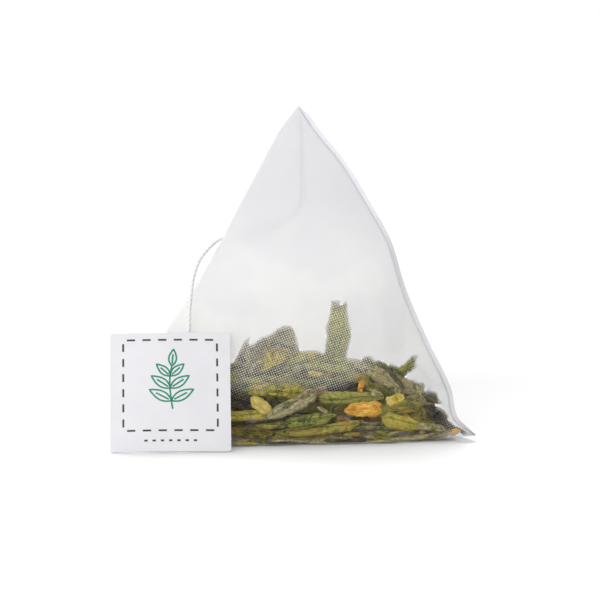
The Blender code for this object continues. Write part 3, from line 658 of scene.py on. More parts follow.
@dataclass
class TagPrint:
    """A plain printed pattern on the tag: a dashed frame, a row of short marks and a leafy sprig drawn in line."""

    card: CardTag
    dark: InkFinish = InkFinish("dark_ink", "#1F2220", "#3A3D3A")
    green: InkFinish = InkFinish("green_ink", "#0A7E5E", "#2A9A78")
    film: float = 0.02 * MM
    lift: float = 0.012 * MM
    frame_half: float = 8.6 * MM
    frame_middle: float = 1.3 * MM
    dash: float = 1.5 * MM
    dash_width: float = 0.34 * MM
    dashes_a_side: int = 6
    mark: float = 0.6 * MM
    mark_row: float = -9.2 * MM
    mark_step: float = 1.5 * MM
    marks_beside: int = 3
    line_width: float = 0.3 * MM
    stem: Knots = ((0.4, -4.6), (0.1, -2.4), (-0.1, -0.2), (0.0, 2.0), (0.3, 3.6))
    stem_points: int = 24
    # Each leaf of the sprig: its foot in millimetres, its direction in degrees, its length and its width
    blades: Rows = (
        (0.2, -3.0, 28.0, 4.6, 1.7), (0.2, -3.0, 152.0, 4.6, 1.7), (0.0, -0.6, 34.0, 4.2, 1.6),
        (0.0, -0.6, 146.0, 4.2, 1.6), (0.0, 1.7, 42.0, 3.4, 1.4), (0.0, 1.7, 138.0, 3.4, 1.4),
        (0.3, 3.6, 84.0, 3.2, 1.4),
    )
    blade_points: int = 15
    # Below 1 a blade is broadest nearer its foot
    belly: float = 0.85
    # The vein's start and end along its blade, and its points
    vein: tuple[float, float, int] = (0.12, 0.7, 6)

    def stroke(self, bm: BMesh, way: ndarray, width: float) -> None:
        """Draw one line of ink.

        Args:
            bm: The mesh that takes it.
            way: Rows of right and up on the card, in metres.
            width: The line's width.
        """
        ahead = unit_rows(np.gradient(way, axis=0))
        side = np.column_stack([-ahead[:, 1], ahead[:, 0]])
        cells = bmesh.ops.create_grid(bm, x_segments=len(way) - 1, y_segments=1, size=1.0)["verts"]
        for vert in cells:
            k = int(round(0.5 * (vert.co.x + 1.0) * (len(way) - 1)))
            x, y = way[k] + 0.5 * width * vert.co.y * side[k]
            vert.co = self.card.at(x, y, self.lift + self.film)
        faces = list({face for vert in cells for face in vert.link_faces})
        bmesh.ops.recalc_face_normals(bm, faces=faces)
        bmesh.ops.solidify(bm, geom=faces, thickness=self.film)

    def sprig(self) -> list[ndarray]:
        """Draw the leafy sprig.

        Returns:
            Its lines, in metres on the card.
        """
        knots = np.array(self.stem)
        heights = np.linspace(knots[0, 1], knots[-1, 1], self.stem_points)
        lines = [np.column_stack([smooth_profile(knots[:, ::-1], heights), heights])]
        out = np.linspace(0.0, 1.0, self.blade_points)
        t = np.concatenate([out, out[-2::-1]])
        sign = np.where(np.arange(len(t)) < self.blade_points, 1.0, -1.0)
        for x, y, degrees, length, width in self.blades:
            ahead, aside = math.cos(math.radians(degrees)), math.sin(math.radians(degrees))
            across = 0.5 * width * sign * np.sin(math.pi * t ** self.belly)
            vein = np.linspace(*self.vein)
            lines.append(np.column_stack([x + length * t * ahead - across * aside,
                                          y + length * t * aside + across * ahead]))
            lines.append(np.column_stack([x + length * vein * ahead, y + length * vein * aside]))
        return [line * MM + [0.0, self.frame_middle] for line in lines]

    def marks(self) -> list[ndarray]:
        """Draw the dashes of the frame and the marks below it.

        Returns:
            Short lines, in metres on the card.
        """
        lines = []
        step = 2.0 * self.frame_half / self.dashes_a_side
        for k in range(self.dashes_a_side):
            run = -self.frame_half + (k + 0.5) * step + np.linspace(-0.5, 0.5, 4) * self.dash
            for edge in (-self.frame_half, self.frame_half):
                flat = np.full_like(run, edge)
                lines.append(np.column_stack([run, flat + self.frame_middle]))
                lines.append(np.column_stack([flat, run + self.frame_middle]))
        for k in range(-self.marks_beside, self.marks_beside + 1):
            run = k * self.mark_step + np.linspace(-0.5, 0.5, 3) * self.mark
            lines.append(np.column_stack([run, np.full_like(run, self.mark_row)]))
        return lines

    def build(self) -> list[Object]:
        """Print the card.

        Returns:
            The dark marks and the green sprig.
        """
        made = []
        for name, lines, width, ink in (("print_frame", self.marks(), self.dash_width, self.dark),
                                        ("print_sprig", self.sprig(), self.line_width, self.green)):
            bm = bmesh.new()
            for line in lines:
                self.stroke(bm, line, width)
            made.append(make_object(name, bm, [ink.material()], smooth=False))
        return made


# ---------------------------------------------------------------- leaves

# What each leaf's vertices carry for its material: its tone, the painted shade of its grooves and the browning of its
# rim
LEAF_LAYERS = ("tone", "groove", "rim")


@dataclass(frozen=True)
class LeafFinish:
    """Dried leaf or petal, pan-fired and rolled: matt, with lengthwise veins, mottled tones, browned edges and painted
    shade in its grooves.
    """

    slot: str
    dark: str
    middle: str
    light: str
    edge: str
    vein: float = 0.5
    roughness: float = 0.62
    # Veins run lengthwise, so their noise is stretched six times along the leaf
    vein_scale: tuple[float, float, float] = (0.6, 3.6, 1.0)
    # Uneven firing: patches about 2.5 mm across, with mottling of about 0.7 mm in them and fine down of 0.2 mm
    patch_scale: float = 420.0
    mottle_scale: float = 1500.0
    down_scale: float = 5200.0
    # Where the ramp has its dark, middle and light colours, and how far a patch and a leaf's own tone shift it
    ramp: tuple[float, float, float] = (0.39, 0.49, 0.59)
    patch_shift: float = 0.07
    tone_shift: float = 0.06
    # How far the colour turns brown in patches and on rims, and dark in grooves, which is painted shade
    fired_share: float = 0.6
    rim_share: float = 0.45
    groove_share: float = 0.7
    vein_relief: float = 0.7
    relief: float = 0.14 * MM
    # Mottling makes the skin a little smoother or rougher
    roughness_shift: Pair = (-0.1, 0.12)

    def material(self) -> Material:
        """Make this leaf's material.

        Returns:
            Veins, mottling and browned rims, on the leaf's own map of millimetres along and across.
        """
        graph = Graph.of_material("dried_" + self.slot)
        place = graph.add("TexCoord", out="Object")
        tone, groove, rim = (graph.add("Attribute", attribute_name=name, out="Fac") for name in LEAF_LAYERS)
        along = graph.add("Mapping", graph.add("UVMap", uv_map="blade"), named={"Scale": self.vein_scale})
        fibres, patches, mottle, down = (
            graph.add("TexNoise", spot, named={"Scale": scale, "Detail": detail, "Roughness": rough}, out="Fac")
            for spot, scale, detail, rough in ((along, 1.0, 6.0, 0.68), (place, self.patch_scale, 2.0, 0.5),
                                               (place, self.mottle_scale, 5.0, 0.7),
                                               (place, self.down_scale, 2.0, 0.5)))

        rest = graph.add("Math", mottle, 1.0 - self.vein, operation="MULTIPLY")
        mix = graph.add("Math", fibres, self.vein, rest, operation="MULTIPLY_ADD")
        for factor, low, high, shift in ((patches, *NOISE_SPAN, self.patch_shift), (tone, -1.0, 1.0, self.tone_shift)):
            mix = graph.add("Math", mix, graph.add("MapRange", factor, low, high, -shift, shift), operation="ADD")
        colour = graph.add("ValToRGB", mix, stops=tuple(
            (stop, linear(tint)) for stop, tint in zip(self.ramp, (self.dark, self.middle, self.light))))
        # Patches and rims turn brown, and grooves turn dark, which is painted shade
        for factor, share, tint in (
                (graph.add("MapRange", patches, 0.5, 0.68, 0.0, 1.0), self.fired_share, self.edge),
                (groove, self.groove_share, self.dark), (rim, self.rim_share, self.edge)):
            colour = graph.add("Mix", named={"Factor": graph.add("Math", factor, share, operation="MULTIPLY"),
                                             "A": colour, "B": linear(tint)}, data_type="RGBA", out="Result")
        fine = graph.add("Math", down, 1.0 - self.vein_relief, operation="MULTIPLY")
        relief = graph.add("Math", fibres, self.vein_relief, fine, operation="MULTIPLY_ADD")
        smooth, rough = (self.roughness + shift for shift in self.roughness_shift)
        return graph.finish(graph.add("BsdfPrincipled", named={
            "Base Color": colour,
            "Roughness": graph.add("MapRange", mottle, *NOISE_SPAN, smooth, rough),
            "Normal": graph.add("Bump", named={"Strength": 0.8, "Distance": self.relief, "Height": relief},
                                out="Normal"),
            "Specular IOR Level": 0.25,
        }))


LEAF_FINISHES = {f.slot: f for f in (
    LeafFinish("leaf_green", "#2C3410", "#858B34", "#BBB95E", "#8A7C36"),
    LeafFinish("leaf_yellow_green", "#58560F", "#B4AA34", "#E6D668", "#AC8C32"),
    LeafFinish("leaf_olive", "#36320D", "#8C8230", "#C6B854", "#9C7E38"),
    LeafFinish("leaf_grey", "#343020", "#90885C", "#CAC092", "#8A7C54"),
    # Near-black pieces: dark leaf, and in part painted shade where they fill gaps and the right tip
    LeafFinish("leaf_dark", "#0F0D09", "#343020", "#6A6242", "#4E4026"),
    LeafFinish("petal_orange", "#B47418", "#E8B43C", "#FCDE88", "#D6962C", 0.65, 0.5),
    LeafFinish("petal_yellow", "#B09A34", "#DCC45A", "#F2E49C", "#C8A848", 0.65, 0.5),
    LeafFinish("petal_tan", "#74502A", "#AE8450", "#DABA88", "#9C7040", 0.6, 0.55),
)}


class Habit(Enum):
    """How a dried piece has curled, pressed or broken."""

    PRESSED = auto()
    ROLLED = auto()
    CURLED = auto()
    PETAL = auto()
    STALK = auto()
    STUMP = auto()
    RAGGED = auto()
    HUMP = auto()
    SPIKE = auto()
    HIDDEN = auto()
    CRUMB = auto()


@dataclass(frozen=True)
class Growth:
    """The surface of one habit: sizes in millimetres, and shares of the leaf's own width, length or thickness."""

    pleat_mm: float
    pleat_depth: float
    dent: float
    margin_wander: float
    tip_from: float
    tip_narrow: float
    tail_narrow: float
    margin_roll: float
    crease: float
    rim_thickness: float
    along_cuts: int = 84
    across_cuts: int = 21
    breadth: float = 0.84
    fullness: float = 1.5
    tear: float = 0.13
    torn_up: bool = False


GROWTHS = {
    Habit.PRESSED: Growth(0.80, 0.15, 0.16, 0.20, 0.40, 0.75, 0.35, 0.28, 0.45, 0.75),
    Habit.ROLLED: Growth(0.62, 0.24, 0.22, 0.28, 0.30, 0.80, 0.10, 0.40, 0.5, 0.8),
    Habit.CURLED: Growth(0.95, 0.20, 0.40, 0.34, 0.35, 0.55, 0.30, 0.30, 0.3, 0.35),
    Habit.PETAL: Growth(0.50, 0.09, 0.20, 0.30, 0.20, 0.45, 0.10, 0.15, 0.3, 0.3),
    Habit.STALK: Growth(0.40, 0.07, 0.10, 0.12, 0.50, 0.50, 0.10, 0.0, 0.2, 0.9, 60, 11),
    Habit.HIDDEN: Growth(0.90, 0.16, 0.20, 0.22, 0.40, 0.70, 0.30, 0.2, 0.4, 0.6, 30, 9),
    Habit.CRUMB: Growth(0.70, 0.16, 0.25, 0.30, 0.35, 0.60, 0.20, 0.2, 0.4, 0.6, 7, 2),
    Habit.RAGGED: Growth(0.70, 0.22, 0.50, 0.70, 0.20, 0.60, 0.35, 0.3, 0.4, 0.45, 84, 21, 0.95, 1.5, 0.26),
    Habit.STUMP: Growth(0.75, 0.16, 0.30, 0.10, 0.60, 0.0, 0.32, 0.30, 0.3, 0.5, 84, 21, 1.10, 8.0, 0.12, True),
    Habit.HUMP: Growth(0.95, 0.20, 0.45, 0.10, 0.50, 0.10, 0.10, 0.30, 0.3, 0.5, 84, 21, 1.06, 1.15, 0.05),
    Habit.SPIKE: Growth(0.80, 0.16, 0.25, 0.10, -0.2, 0.96, 0.0, 0.25, 0.3, 0.5, 84, 21, 0.95, 1.4, 0.03),
}


class Skeleton:
    """A leaf's shape in eleven rings: its left, middle and right, its normals and its thickness."""

    RINGS = 11
    # A CAD leaf's ring has this many points
    RING_POINTS = (5, 6)
    # Numbering its rings: rounds of fitting, the error in ring steps that is worth a warning, and a misfit's
    ROUNDS = 20
    DOUBTFUL = 0.05
    MISFIT = 9.0
    GUESS_STEP = 0.2
    # A small piece: its ends' width and thickness as shares of the middle's, and how square its outline is
    END_WIDTH = 0.35
    END_THICKNESS = 0.6
    OUTLINE = 2.4

    def __init__(self, left: ndarray, centre: ndarray, right: ndarray, thick: ndarray) -> None:
        """Keep the rings and work out their normals.

        Args:
            left: The left margin's point at each ring.
            centre: The middle's point at each ring.
            right: The right margin's point at each ring.
            thick: The thickness at each ring.
        """
        self.left, self.centre, self.right, self.thick = left, centre, right, thick
        ahead = np.gradient(centre, axis=0)
        self.normal = np.array([unit(np.cross(a, b)) for a, b in zip(ahead, right - left)])

    @classmethod
    def of_node(cls, node: str) -> "Skeleton":
        """Read a CAD leaf's rings of five or six points back from its solid.

        Args:
            node: The leaf's CAD node.

        Returns:
            Its skeleton, in the world.
        """
        bm = merged_copy(node)
        points = points_of(bm)
        bm.free()
        _values, vectors = np.linalg.eigh(np.cov((points - points.mean(axis=0)).T))
        angles = np.arange(0.0, math.pi, cls.GUESS_STEP)
        guesses = [math.cos(a) * vectors[:, 2] + math.sin(a) * vectors[:, 1] for a in angles]
        tries = [cls.number_rings(points, axis) for axis in guesses + [vectors[:, 0]]]
        numbers, error = min(tries, key=lambda pair: pair[1])
        if error > cls.DOUBTFUL:
            LOG.warning("%s: rings are only known to %.2f of a step", node, error)
        left, centre, right = (np.zeros((cls.RINGS, 3)) for _ in range(3))
        thick = np.zeros(cls.RINGS)
        before = None
        for k in range(cls.RINGS):
            ring = points[numbers == k]
            _values, axes = np.linalg.eigh(np.cov((ring - ring.mean(axis=0)).T))
            broad = axes[:, 2]
            if before is not None and np.dot(broad, before) < 0.0:
                broad = -broad
            before = broad
            ring = ring[np.argsort(ring @ broad)]
            left[k], centre[k], right[k] = (part.mean(axis=0) for part in (ring[:2], ring[2:-2], ring[-2:]))
            thick[k] = np.linalg.norm(ring[1] - ring[0]) + np.linalg.norm(ring[-1] - ring[-2])
        return cls(left, centre, right, thick)

    @classmethod
    def of_sizes(cls, length: float, width: float, thick: float, bend: float, twist: float) -> "Skeleton":
        """Shape a small piece of leaf, long in X and thin in Z.

        Args:
            length: Its length in metres.
            width: Its width in metres.
            thick: Its thickness in metres.
            bend: How far it arches, as a share of its length.
            twist: Its turn from its middle to its end, in radians.

        Returns:
            Its skeleton, round the origin.
        """
        s = np.linspace(-1.0, 1.0, cls.RINGS)
        centre = np.column_stack([0.5 * length * s, np.zeros_like(s), -bend * length * s * s])
        half = 0.5 * width * (cls.END_WIDTH + (1.0 - cls.END_WIDTH) * (1.0 - np.abs(s) ** cls.OUTLINE))
        side = np.column_stack([np.zeros_like(s), half * np.cos(twist * s), half * np.sin(twist * s)])
        body = cls.END_THICKNESS + (1.0 - cls.END_THICKNESS) * (1.0 - s * s)
        return cls(centre - side, centre, centre + side, thick * body)

    def moved(self, turn: ndarray, place: ndarray) -> "Skeleton":
        """The same skeleton, turned by three rows of three, with its origin moved to a place."""
        left, centre, right = (rows @ turn.T + place for rows in (self.left, self.centre, self.right))
        return Skeleton(left, centre, right, self.thick)

    def outer_points(self) -> ndarray:
        """Find points on both faces of the leaf, which tell what it lies on.

        Returns:
            The points, as rows.
        """
        off = 0.5 * self.thick[:, None] * self.normal
        rows = [line + sign * off for line in (self.left, self.centre, self.right) for sign in (-1.0, 1.0)]
        halves = [0.5 * (row[1:] + row[:-1]) for row in rows]
        return np.concatenate(rows + halves)

    @classmethod
    def number_rings(cls, points: ndarray, axis: ndarray) -> tuple[ndarray, float]:
        """Number each point's ring, for rings that stand equally far apart along the leaf.

        Args:
            points: The leaf's points.
            axis: A first guess at its long direction.

        Returns:
            Each point's ring, and how far the worst one is from its ring, in ring steps.
        """
        table = np.column_stack([points, np.ones(len(points))])
        value = points @ axis
        for _round in range(cls.ROUNDS):
            value = (value - value.min()) / np.ptp(value) * (cls.RINGS - 1)
            numbers = np.rint(value).astype(int)
            value = table @ np.linalg.lstsq(table, numbers, rcond=None)[0]
        counts = np.bincount(numbers, minlength=cls.RINGS)
        spread = float(np.abs(value - numbers).max())
        fits = counts.min() >= cls.RING_POINTS[0] and counts.max() <= cls.RING_POINTS[1]
        return numbers, spread if fits else cls.MISFIT

    def read(self, rows: ndarray, s: ndarray) -> ndarray:
        """Read a ring quantity smoothly between the rings.

        Args:
            rows: The quantity at each ring.
            s: Places along the leaf, from -1 to 1.

        Returns:
            The quantity at each place.
        """
        place = (s + 1.0) * 0.5 * (self.RINGS - 1)
        k = np.clip(place.astype(int), 0, self.RINGS - 2)
        f = np.clip(place - k, 0.0, 1.0)
        four = [rows[np.clip(k + step, 0, self.RINGS - 1)] for step in (-1, 0, 1, 2)]
        return smooth_curve(four, f[:, None] if rows.ndim == 2 else f)

    def place(self, s: ndarray, r: ndarray) -> tuple[ndarray, ndarray, ndarray]:
        """Find the leaf's middle sheet.

        Args:
            s: Places along the leaf, from -1 to 1.
            r: Places across it, from -1 to 1.

        Returns:
            The points, the normals there and the thickness there.
        """
        left, centre, right = (self.read(rows, s) for rows in (self.left, self.centre, self.right))
        straight = 0.5 * (right - left)
        fold = 0.5 * (left + right) - centre
        points = centre + r[:, None] * straight + (r * r)[:, None] * fold
        return points, unit_rows(self.read(self.normal, s)), self.read(self.thick, s)


@dataclass
class DriedLeaf:
    """One stiff leaf, stalk, petal or crumb, worked up on its skeleton."""

    skeleton: Skeleton
    habit: Habit
    number: int
    # How far its upper part is drawn up along the bag, in millimetres
    drawn_up: Knots = ()
    # How far over it stands and how many times broader it is, at each height in millimetres
    lean: Knots = ()
    spread: Knots = ()
    # How pale it is among its kind, from -1 to 1; by chance if not given
    tone: Optional[float] = None

    # Noise differs from leaf to leaf by this much of its number
    seed_step: float = 7.31
    # A leaf that rises by more than this share of its length stands, with its tip up
    standing: float = 0.6
    # The drawn-in tail starts here along the leaf, and the torn end here
    tail_from: float = 0.72
    tear_from: float = 0.5
    # The torn end loses this share of the leaf's tear, more or less by noise, and the tip this share of it
    torn_off: float = 0.7
    nipped: float = 0.23
    # How much the margin follows slow, quick and very quick noise, and their waves to the millimetre
    margin_waves: tuple[tuple[float, float, float, float], ...] = (
        (1.1, 0.24, 3.1, 0.0), (0.45, 1.1, 2.9, 5.0), (0.22, 3.0, 2.3, 8.0))
    # A leaf's least and most width as shares of its CAD leaf's, which is at least this share of its broadest
    least_width: float = 0.03
    most_width: float = 1.3
    least_cad_width: float = 0.05
    # The crease's wander and width and the rolled margins' place and width, as shares of the half width
    crease: Pair = (0.6, 0.14)
    roll: Pair = (0.7, 0.22)
    # Where the rim's browning starts across the leaf and along it, and how much of the crease adds to the painted shade
    # in the groove
    rim_from: Pair = (0.78, 0.88)
    crease_shade: float = 0.6
    # Thickness as a share of the CAD leaf's: away from a crease, and its least and most
    body: float = 0.86
    body_limits: Pair = (0.12, 1.25)
    tip_body: float = 0.4
    dent_size: float = 1.7 * MM
    grain_size: float = 0.42 * MM
    grain_depth: float = 0.06
    # The part of a leaf that is drawn up starts and is whole at these heights
    drawn_from: Pair = (13.0 * MM, 17.5 * MM)
    floor: float = 0.35 * MM
    # Each leaf has its own stretch of the map, so that no two have the same veins
    map_step_mm: float = 30.0

    def __post_init__(self) -> None:
        """Find out how this leaf grows, its sizes in millimetres and which end is its tip."""
        self.growth = GROWTHS[self.habit]
        self.seed = self.seed_step * self.number
        self.widths = np.linalg.norm(self.skeleton.right - self.skeleton.left, axis=1)
        run = self.skeleton.centre[-1] - self.skeleton.centre[0]
        self.length_mm = np.linalg.norm(run) / MM
        self.way = -1.0 if self.number % 2 else 1.0
        if abs(run[2]) / MM > self.standing * self.length_mm:
            self.way = math.copysign(1.0, -run[2] if self.growth.torn_up else run[2])

    def outline(self, s: ndarray, r: ndarray) -> tuple[ndarray, ndarray, ndarray, ndarray]:
        """Draw the leaf's outline: nearly parallel, drawn in to a point at one end and torn at the other.

        Args:
            s: Places along the leaf, from -1 to 1.
            r: Places across it, from -1 to 1.

        Returns:
            Each place along the torn leaf, its width, how far the tip and tail are drawn in, and its slow noise.
        """
        growth, way, seed = self.growth, self.way, self.seed
        ends = 1.0 - growth.tip_narrow * smooth_step(growth.tip_from, 1.0, way * s)
        ends = ends * (1.0 - growth.tail_narrow * smooth_step(self.tail_from, 1.0, -way * s))
        broadest = self.widths.max()
        cad_width = self.skeleton.read(self.widths[:, None], s)[:, 0]
        full = broadest / np.maximum(cad_width, self.least_cad_width * broadest)
        waves = [(share, noise_at(wave * 0.5 * self.length_mm * s, side * np.sign(r), seed + step))
                 for share, wave, side, step in self.margin_waves]
        margin = growth.breadth + growth.margin_wander * sum(share * wave for share, wave in waves)
        width = np.clip(ends * margin * np.minimum(full, growth.fullness), self.least_width,
                        max(self.most_width, growth.fullness))
        across_mm = 0.5 * broadest / MM * r
        torn = noise_at(seed, 1.1 * across_mm, 2.0) + 0.5 * noise_at(seed, 3.3 * across_mm, 4.0)
        torn_off = growth.tear * (self.torn_off + torn) * smooth_step(self.tear_from, 1.0, -way * s)
        nipped = self.nipped * growth.tear * smooth_step(self.tear_from, 1.0, way * s)
        return np.clip(s + way * (torn_off - nipped), -1.0, 1.0), width, ends, waves[0][1]

    def mesh(self) -> BMesh:
        """Work up the leaf's surface.

        Returns:
            A closed mesh with attributes for its tone, the painted shade in its grooves and its browned rim, and its
            own map in millimetres.
        """
        growth, seed = self.growth, self.seed
        bm = bmesh.new()
        bmesh.ops.create_cube(bm, size=2.0)
        for axis, cuts in ((0, growth.along_cuts), (1, growth.across_cuts)):
            bmesh.ops.subdivide_edges(bm, edges=runs_along(bm, axis), cuts=cuts, use_grid_fill=True)
        bm.verts.index_update()
        s, r, h = points_of(bm).T
        along_mm, across_mm = 0.5 * self.length_mm * s, 0.5 * self.widths.max() / MM * r
        torn_s, width, ends, slow = self.outline(s, r)
        points, normals, thick = self.skeleton.place(torn_s, r * width)

        # Thickness: rounded, with a wandering crease, fuller rolled margins and a thinner tip
        wander, breadth = self.crease
        crease = np.exp(-((r - 0.1 - wander * noise_at(0.12 * along_mm, seed, 9.0)) / breadth) ** 2)
        roll = np.exp(-((np.abs(r) - self.roll[0]) / self.roll[1]) ** 2)
        rim_body = 0.5 * growth.rim_thickness
        body = rim_body + (1.0 - rim_body) * np.sqrt(1.0 - np.abs(r) ** 4.0)
        body = body * (self.body - growth.crease * crease + growth.margin_roll * roll * (1.0 + 0.8 * slow))
        body = body * (self.tip_body + (1.0 - self.tip_body) * ends)
        off = 0.5 * h * thick * np.clip(body, *self.body_limits)

        # Pleats run along the leaf and wander; dents are softer and go both ways
        drift = noise_at(0.16 * along_mm, 0.35 * across_mm, seed + 1.0)
        wave = np.sin(2.0 * math.pi * (across_mm / growth.pleat_mm + 1.5 * drift) + seed)
        presence = smooth_step(-0.35, 0.35, noise_at(0.35 * along_mm, 0.8 * across_mm, seed + 3.0))
        groove = (1.0 - np.abs(wave)) ** 2 * (1.0 - smooth_step(0.8, 1.0, np.abs(r))) * (0.25 + 0.75 * presence)
        dent = noise_at(*(points / self.dent_size + np.array([seed, 0.0, 0.0])).T)
        grain = noise_at(*(points / self.grain_size + np.array([0.0, seed, 0.0])).T)
        skin = growth.dent * dent + h * (self.grain_depth * grain - growth.pleat_depth * groove)
        shaped = self.pulled(points + normals * (off + skin * MM)[:, None])

        layers = {key: bm.verts.layers.float.new(key) for key in LEAF_LAYERS}
        own_tone = random.Random(self.number).uniform(-1.0, 1.0) if self.tone is None else self.tone
        beside, beyond = self.rim_from
        rim = np.maximum(smooth_step(beside, 1.0, np.abs(r)), 0.8 * smooth_step(beyond, 1.0, np.abs(s)))
        for i, vert in enumerate(bm.verts):
            vert.co = shaped[i]
            vert[layers["tone"]] = own_tone
            # The groove value darkens the leaf's colour in its pleats and crease: painted shade
            vert[layers["groove"]] = float(np.clip(groove[i] + self.crease_shade * crease[i], 0.0, 1.0))
            vert[layers["rim"]] = float(rim[i])
        blade = bm.loops.layers.uv.new("blade")
        for face in bm.faces:
            for loop in face.loops:
                i = loop.vert.index
                loop[blade].uv = (along_mm[i] + self.map_step_mm * self.number, across_mm[i])
        bmesh.ops.recalc_face_normals(bm, faces=bm.faces)
        return bm

    def pulled(self, shaped: ndarray) -> ndarray:
        """Draw the leaf up and lean it over as its own tables say, and keep it off the table.

        Args:
            shaped: Its points.

        Returns:
            The points where they end up.
        """
        if self.drawn_up:
            lift = smooth_profile(self.drawn_up, shaped[:, 0] / MM) * MM
            shaped[:, 2] += lift * smooth_step(*self.drawn_from, shaped[:, 2])
        if self.spread:
            rise, order = shaped[:, 2], np.argsort(self.skeleton.centre[:, 2])
            middle = np.interp(rise, self.skeleton.centre[order, 2], self.skeleton.centre[order, 0])
            shaped[:, 0] = middle + (shaped[:, 0] - middle) * np.interp(rise / MM, *np.transpose(self.spread))
            shaped[:, 0] += np.interp(rise / MM, *np.transpose(self.lean)) * MM
        shaped[:, 2] = np.maximum(shaped[:, 2], self.floor)
        return shaped


@dataclass
class LeafHeap:
    """Every leaf, stalk and petal in the bag."""

    hidden_word: str = "leaf_inside"
    not_tea: tuple[str, ...] = ("mesh_bag", "string", "tag")
    habits: tuple[tuple[Habit, tuple[str, ...]], ...] = (
        (Habit.ROLLED, ("leaf_grey_slanted", "leaf_rolled_dark", "leaf_dark_left")),
        (Habit.RAGGED, ("leaf_grey_right", "leaf_right_tip", "chip_dark_right")),
        (Habit.CURLED, ("leaf_grey_middle", "leaf_mid_left", "leaf_mid_centre", "leaf_mid_right",
                        "leaf_pair_upper", "leaf_pair_lower")),
        (Habit.STUMP, ("leaf_standing",)),
        (Habit.HUMP, ("leaf_crumpled",)),
        (Habit.SPIKE, ("leaf_spike",)),
        (Habit.PETAL, ("petal_orange_large", "petal_yellow_small", "petal_tan", "chip_pale", "chip_orange_tip",
                       "bit_orange_upper", "bit_brown_upper")),
        (Habit.STALK, ("stalk_dark", "stalk_green", "stalk_tan")),
    )
    # How pale some leaves are among their kind, then how some are drawn up, lean and spread, as in DriedLeaf
    tones: tuple[tuple[str, float], ...] = (
        ("leaf_standing", 1.0), ("leaf_crumpled", 0.5), ("leaf_bright_right", 0.9), ("leaf_long_green", 0.3),
        ("leaf_left_green", 1.0), ("leaf_low_middle", 0.6), ("leaf_grey_slanted", 0.2), ("leaf_lens_green", -0.2),
    )
    drawn_up: tuple[tuple[str, Knots], ...] = (
        ("leaf_crumpled", ((-12.0, 0.0), (-9.0, -0.6), (-7.4, -1.6), (-5.8, -0.9), (-4.0, 0.8), (-2.4, 1.7),
                           (-1.0, 1.7), (0.4, 0.8), (2.0, 0.0))),
        ("leaf_spike", ((-14.0, 0.0), (-11.5, 0.6), (-10.4, 2.6), (-9.4, 2.4), (-8.0, 0.8), (-6.0, 0.0))),
    )
    leans: tuple[tuple[str, tuple[Knots, Knots]], ...] = (
        ("leaf_standing", (((15.0, 0.9), (18.0, 0.9), (21.0, 0.1), (25.0, -0.2)),
                           ((14.0, 1.7), (18.0, 1.6), (20.5, 1.0), (22.0, 0.8), (25.0, 0.85)))),
    )

    def habit_of(self, node: str) -> Habit:
        """Name a leaf's habit.

        Args:
            node: The leaf's CAD node.

        Returns:
            Its habit: pressed unless it is listed or hidden.
        """
        for habit, nodes in self.habits:
            if node in nodes:
                return habit
        return Habit.HIDDEN if node.startswith(self.hidden_word) else Habit.PRESSED

    def slot_of(self, node: str) -> str:
        """The slot of a CAD node's leaf, by its material's name."""
        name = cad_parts[node].data.materials[0].name
        return next(slot for slot in LEAF_FINISHES if name.split(".")[0] == slot)

    def build(self, materials: dict[str, Material]) -> list[Object]:
        """Work up each CAD leaf.

        Args:
            materials: The finishes' materials, by slot.

        Returns:
            The finished pieces.
        """
        made = []
        tones, drawn_up, leans = dict(self.tones), dict(self.drawn_up), dict(self.leans)
        for number, node in enumerate(sorted(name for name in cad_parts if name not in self.not_tea)):
            slot = self.slot_of(node)
            leaf = DriedLeaf(Skeleton.of_node(node), self.habit_of(node), number, drawn_up.get(node, ()),
                             *leans.get(node, ((), ())), tones.get(node))
            piece = make_object("dried_" + node, leaf.mesh(), [materials[slot]])
            hand_in(piece, slot, node)
            made.append(piece)
        return made


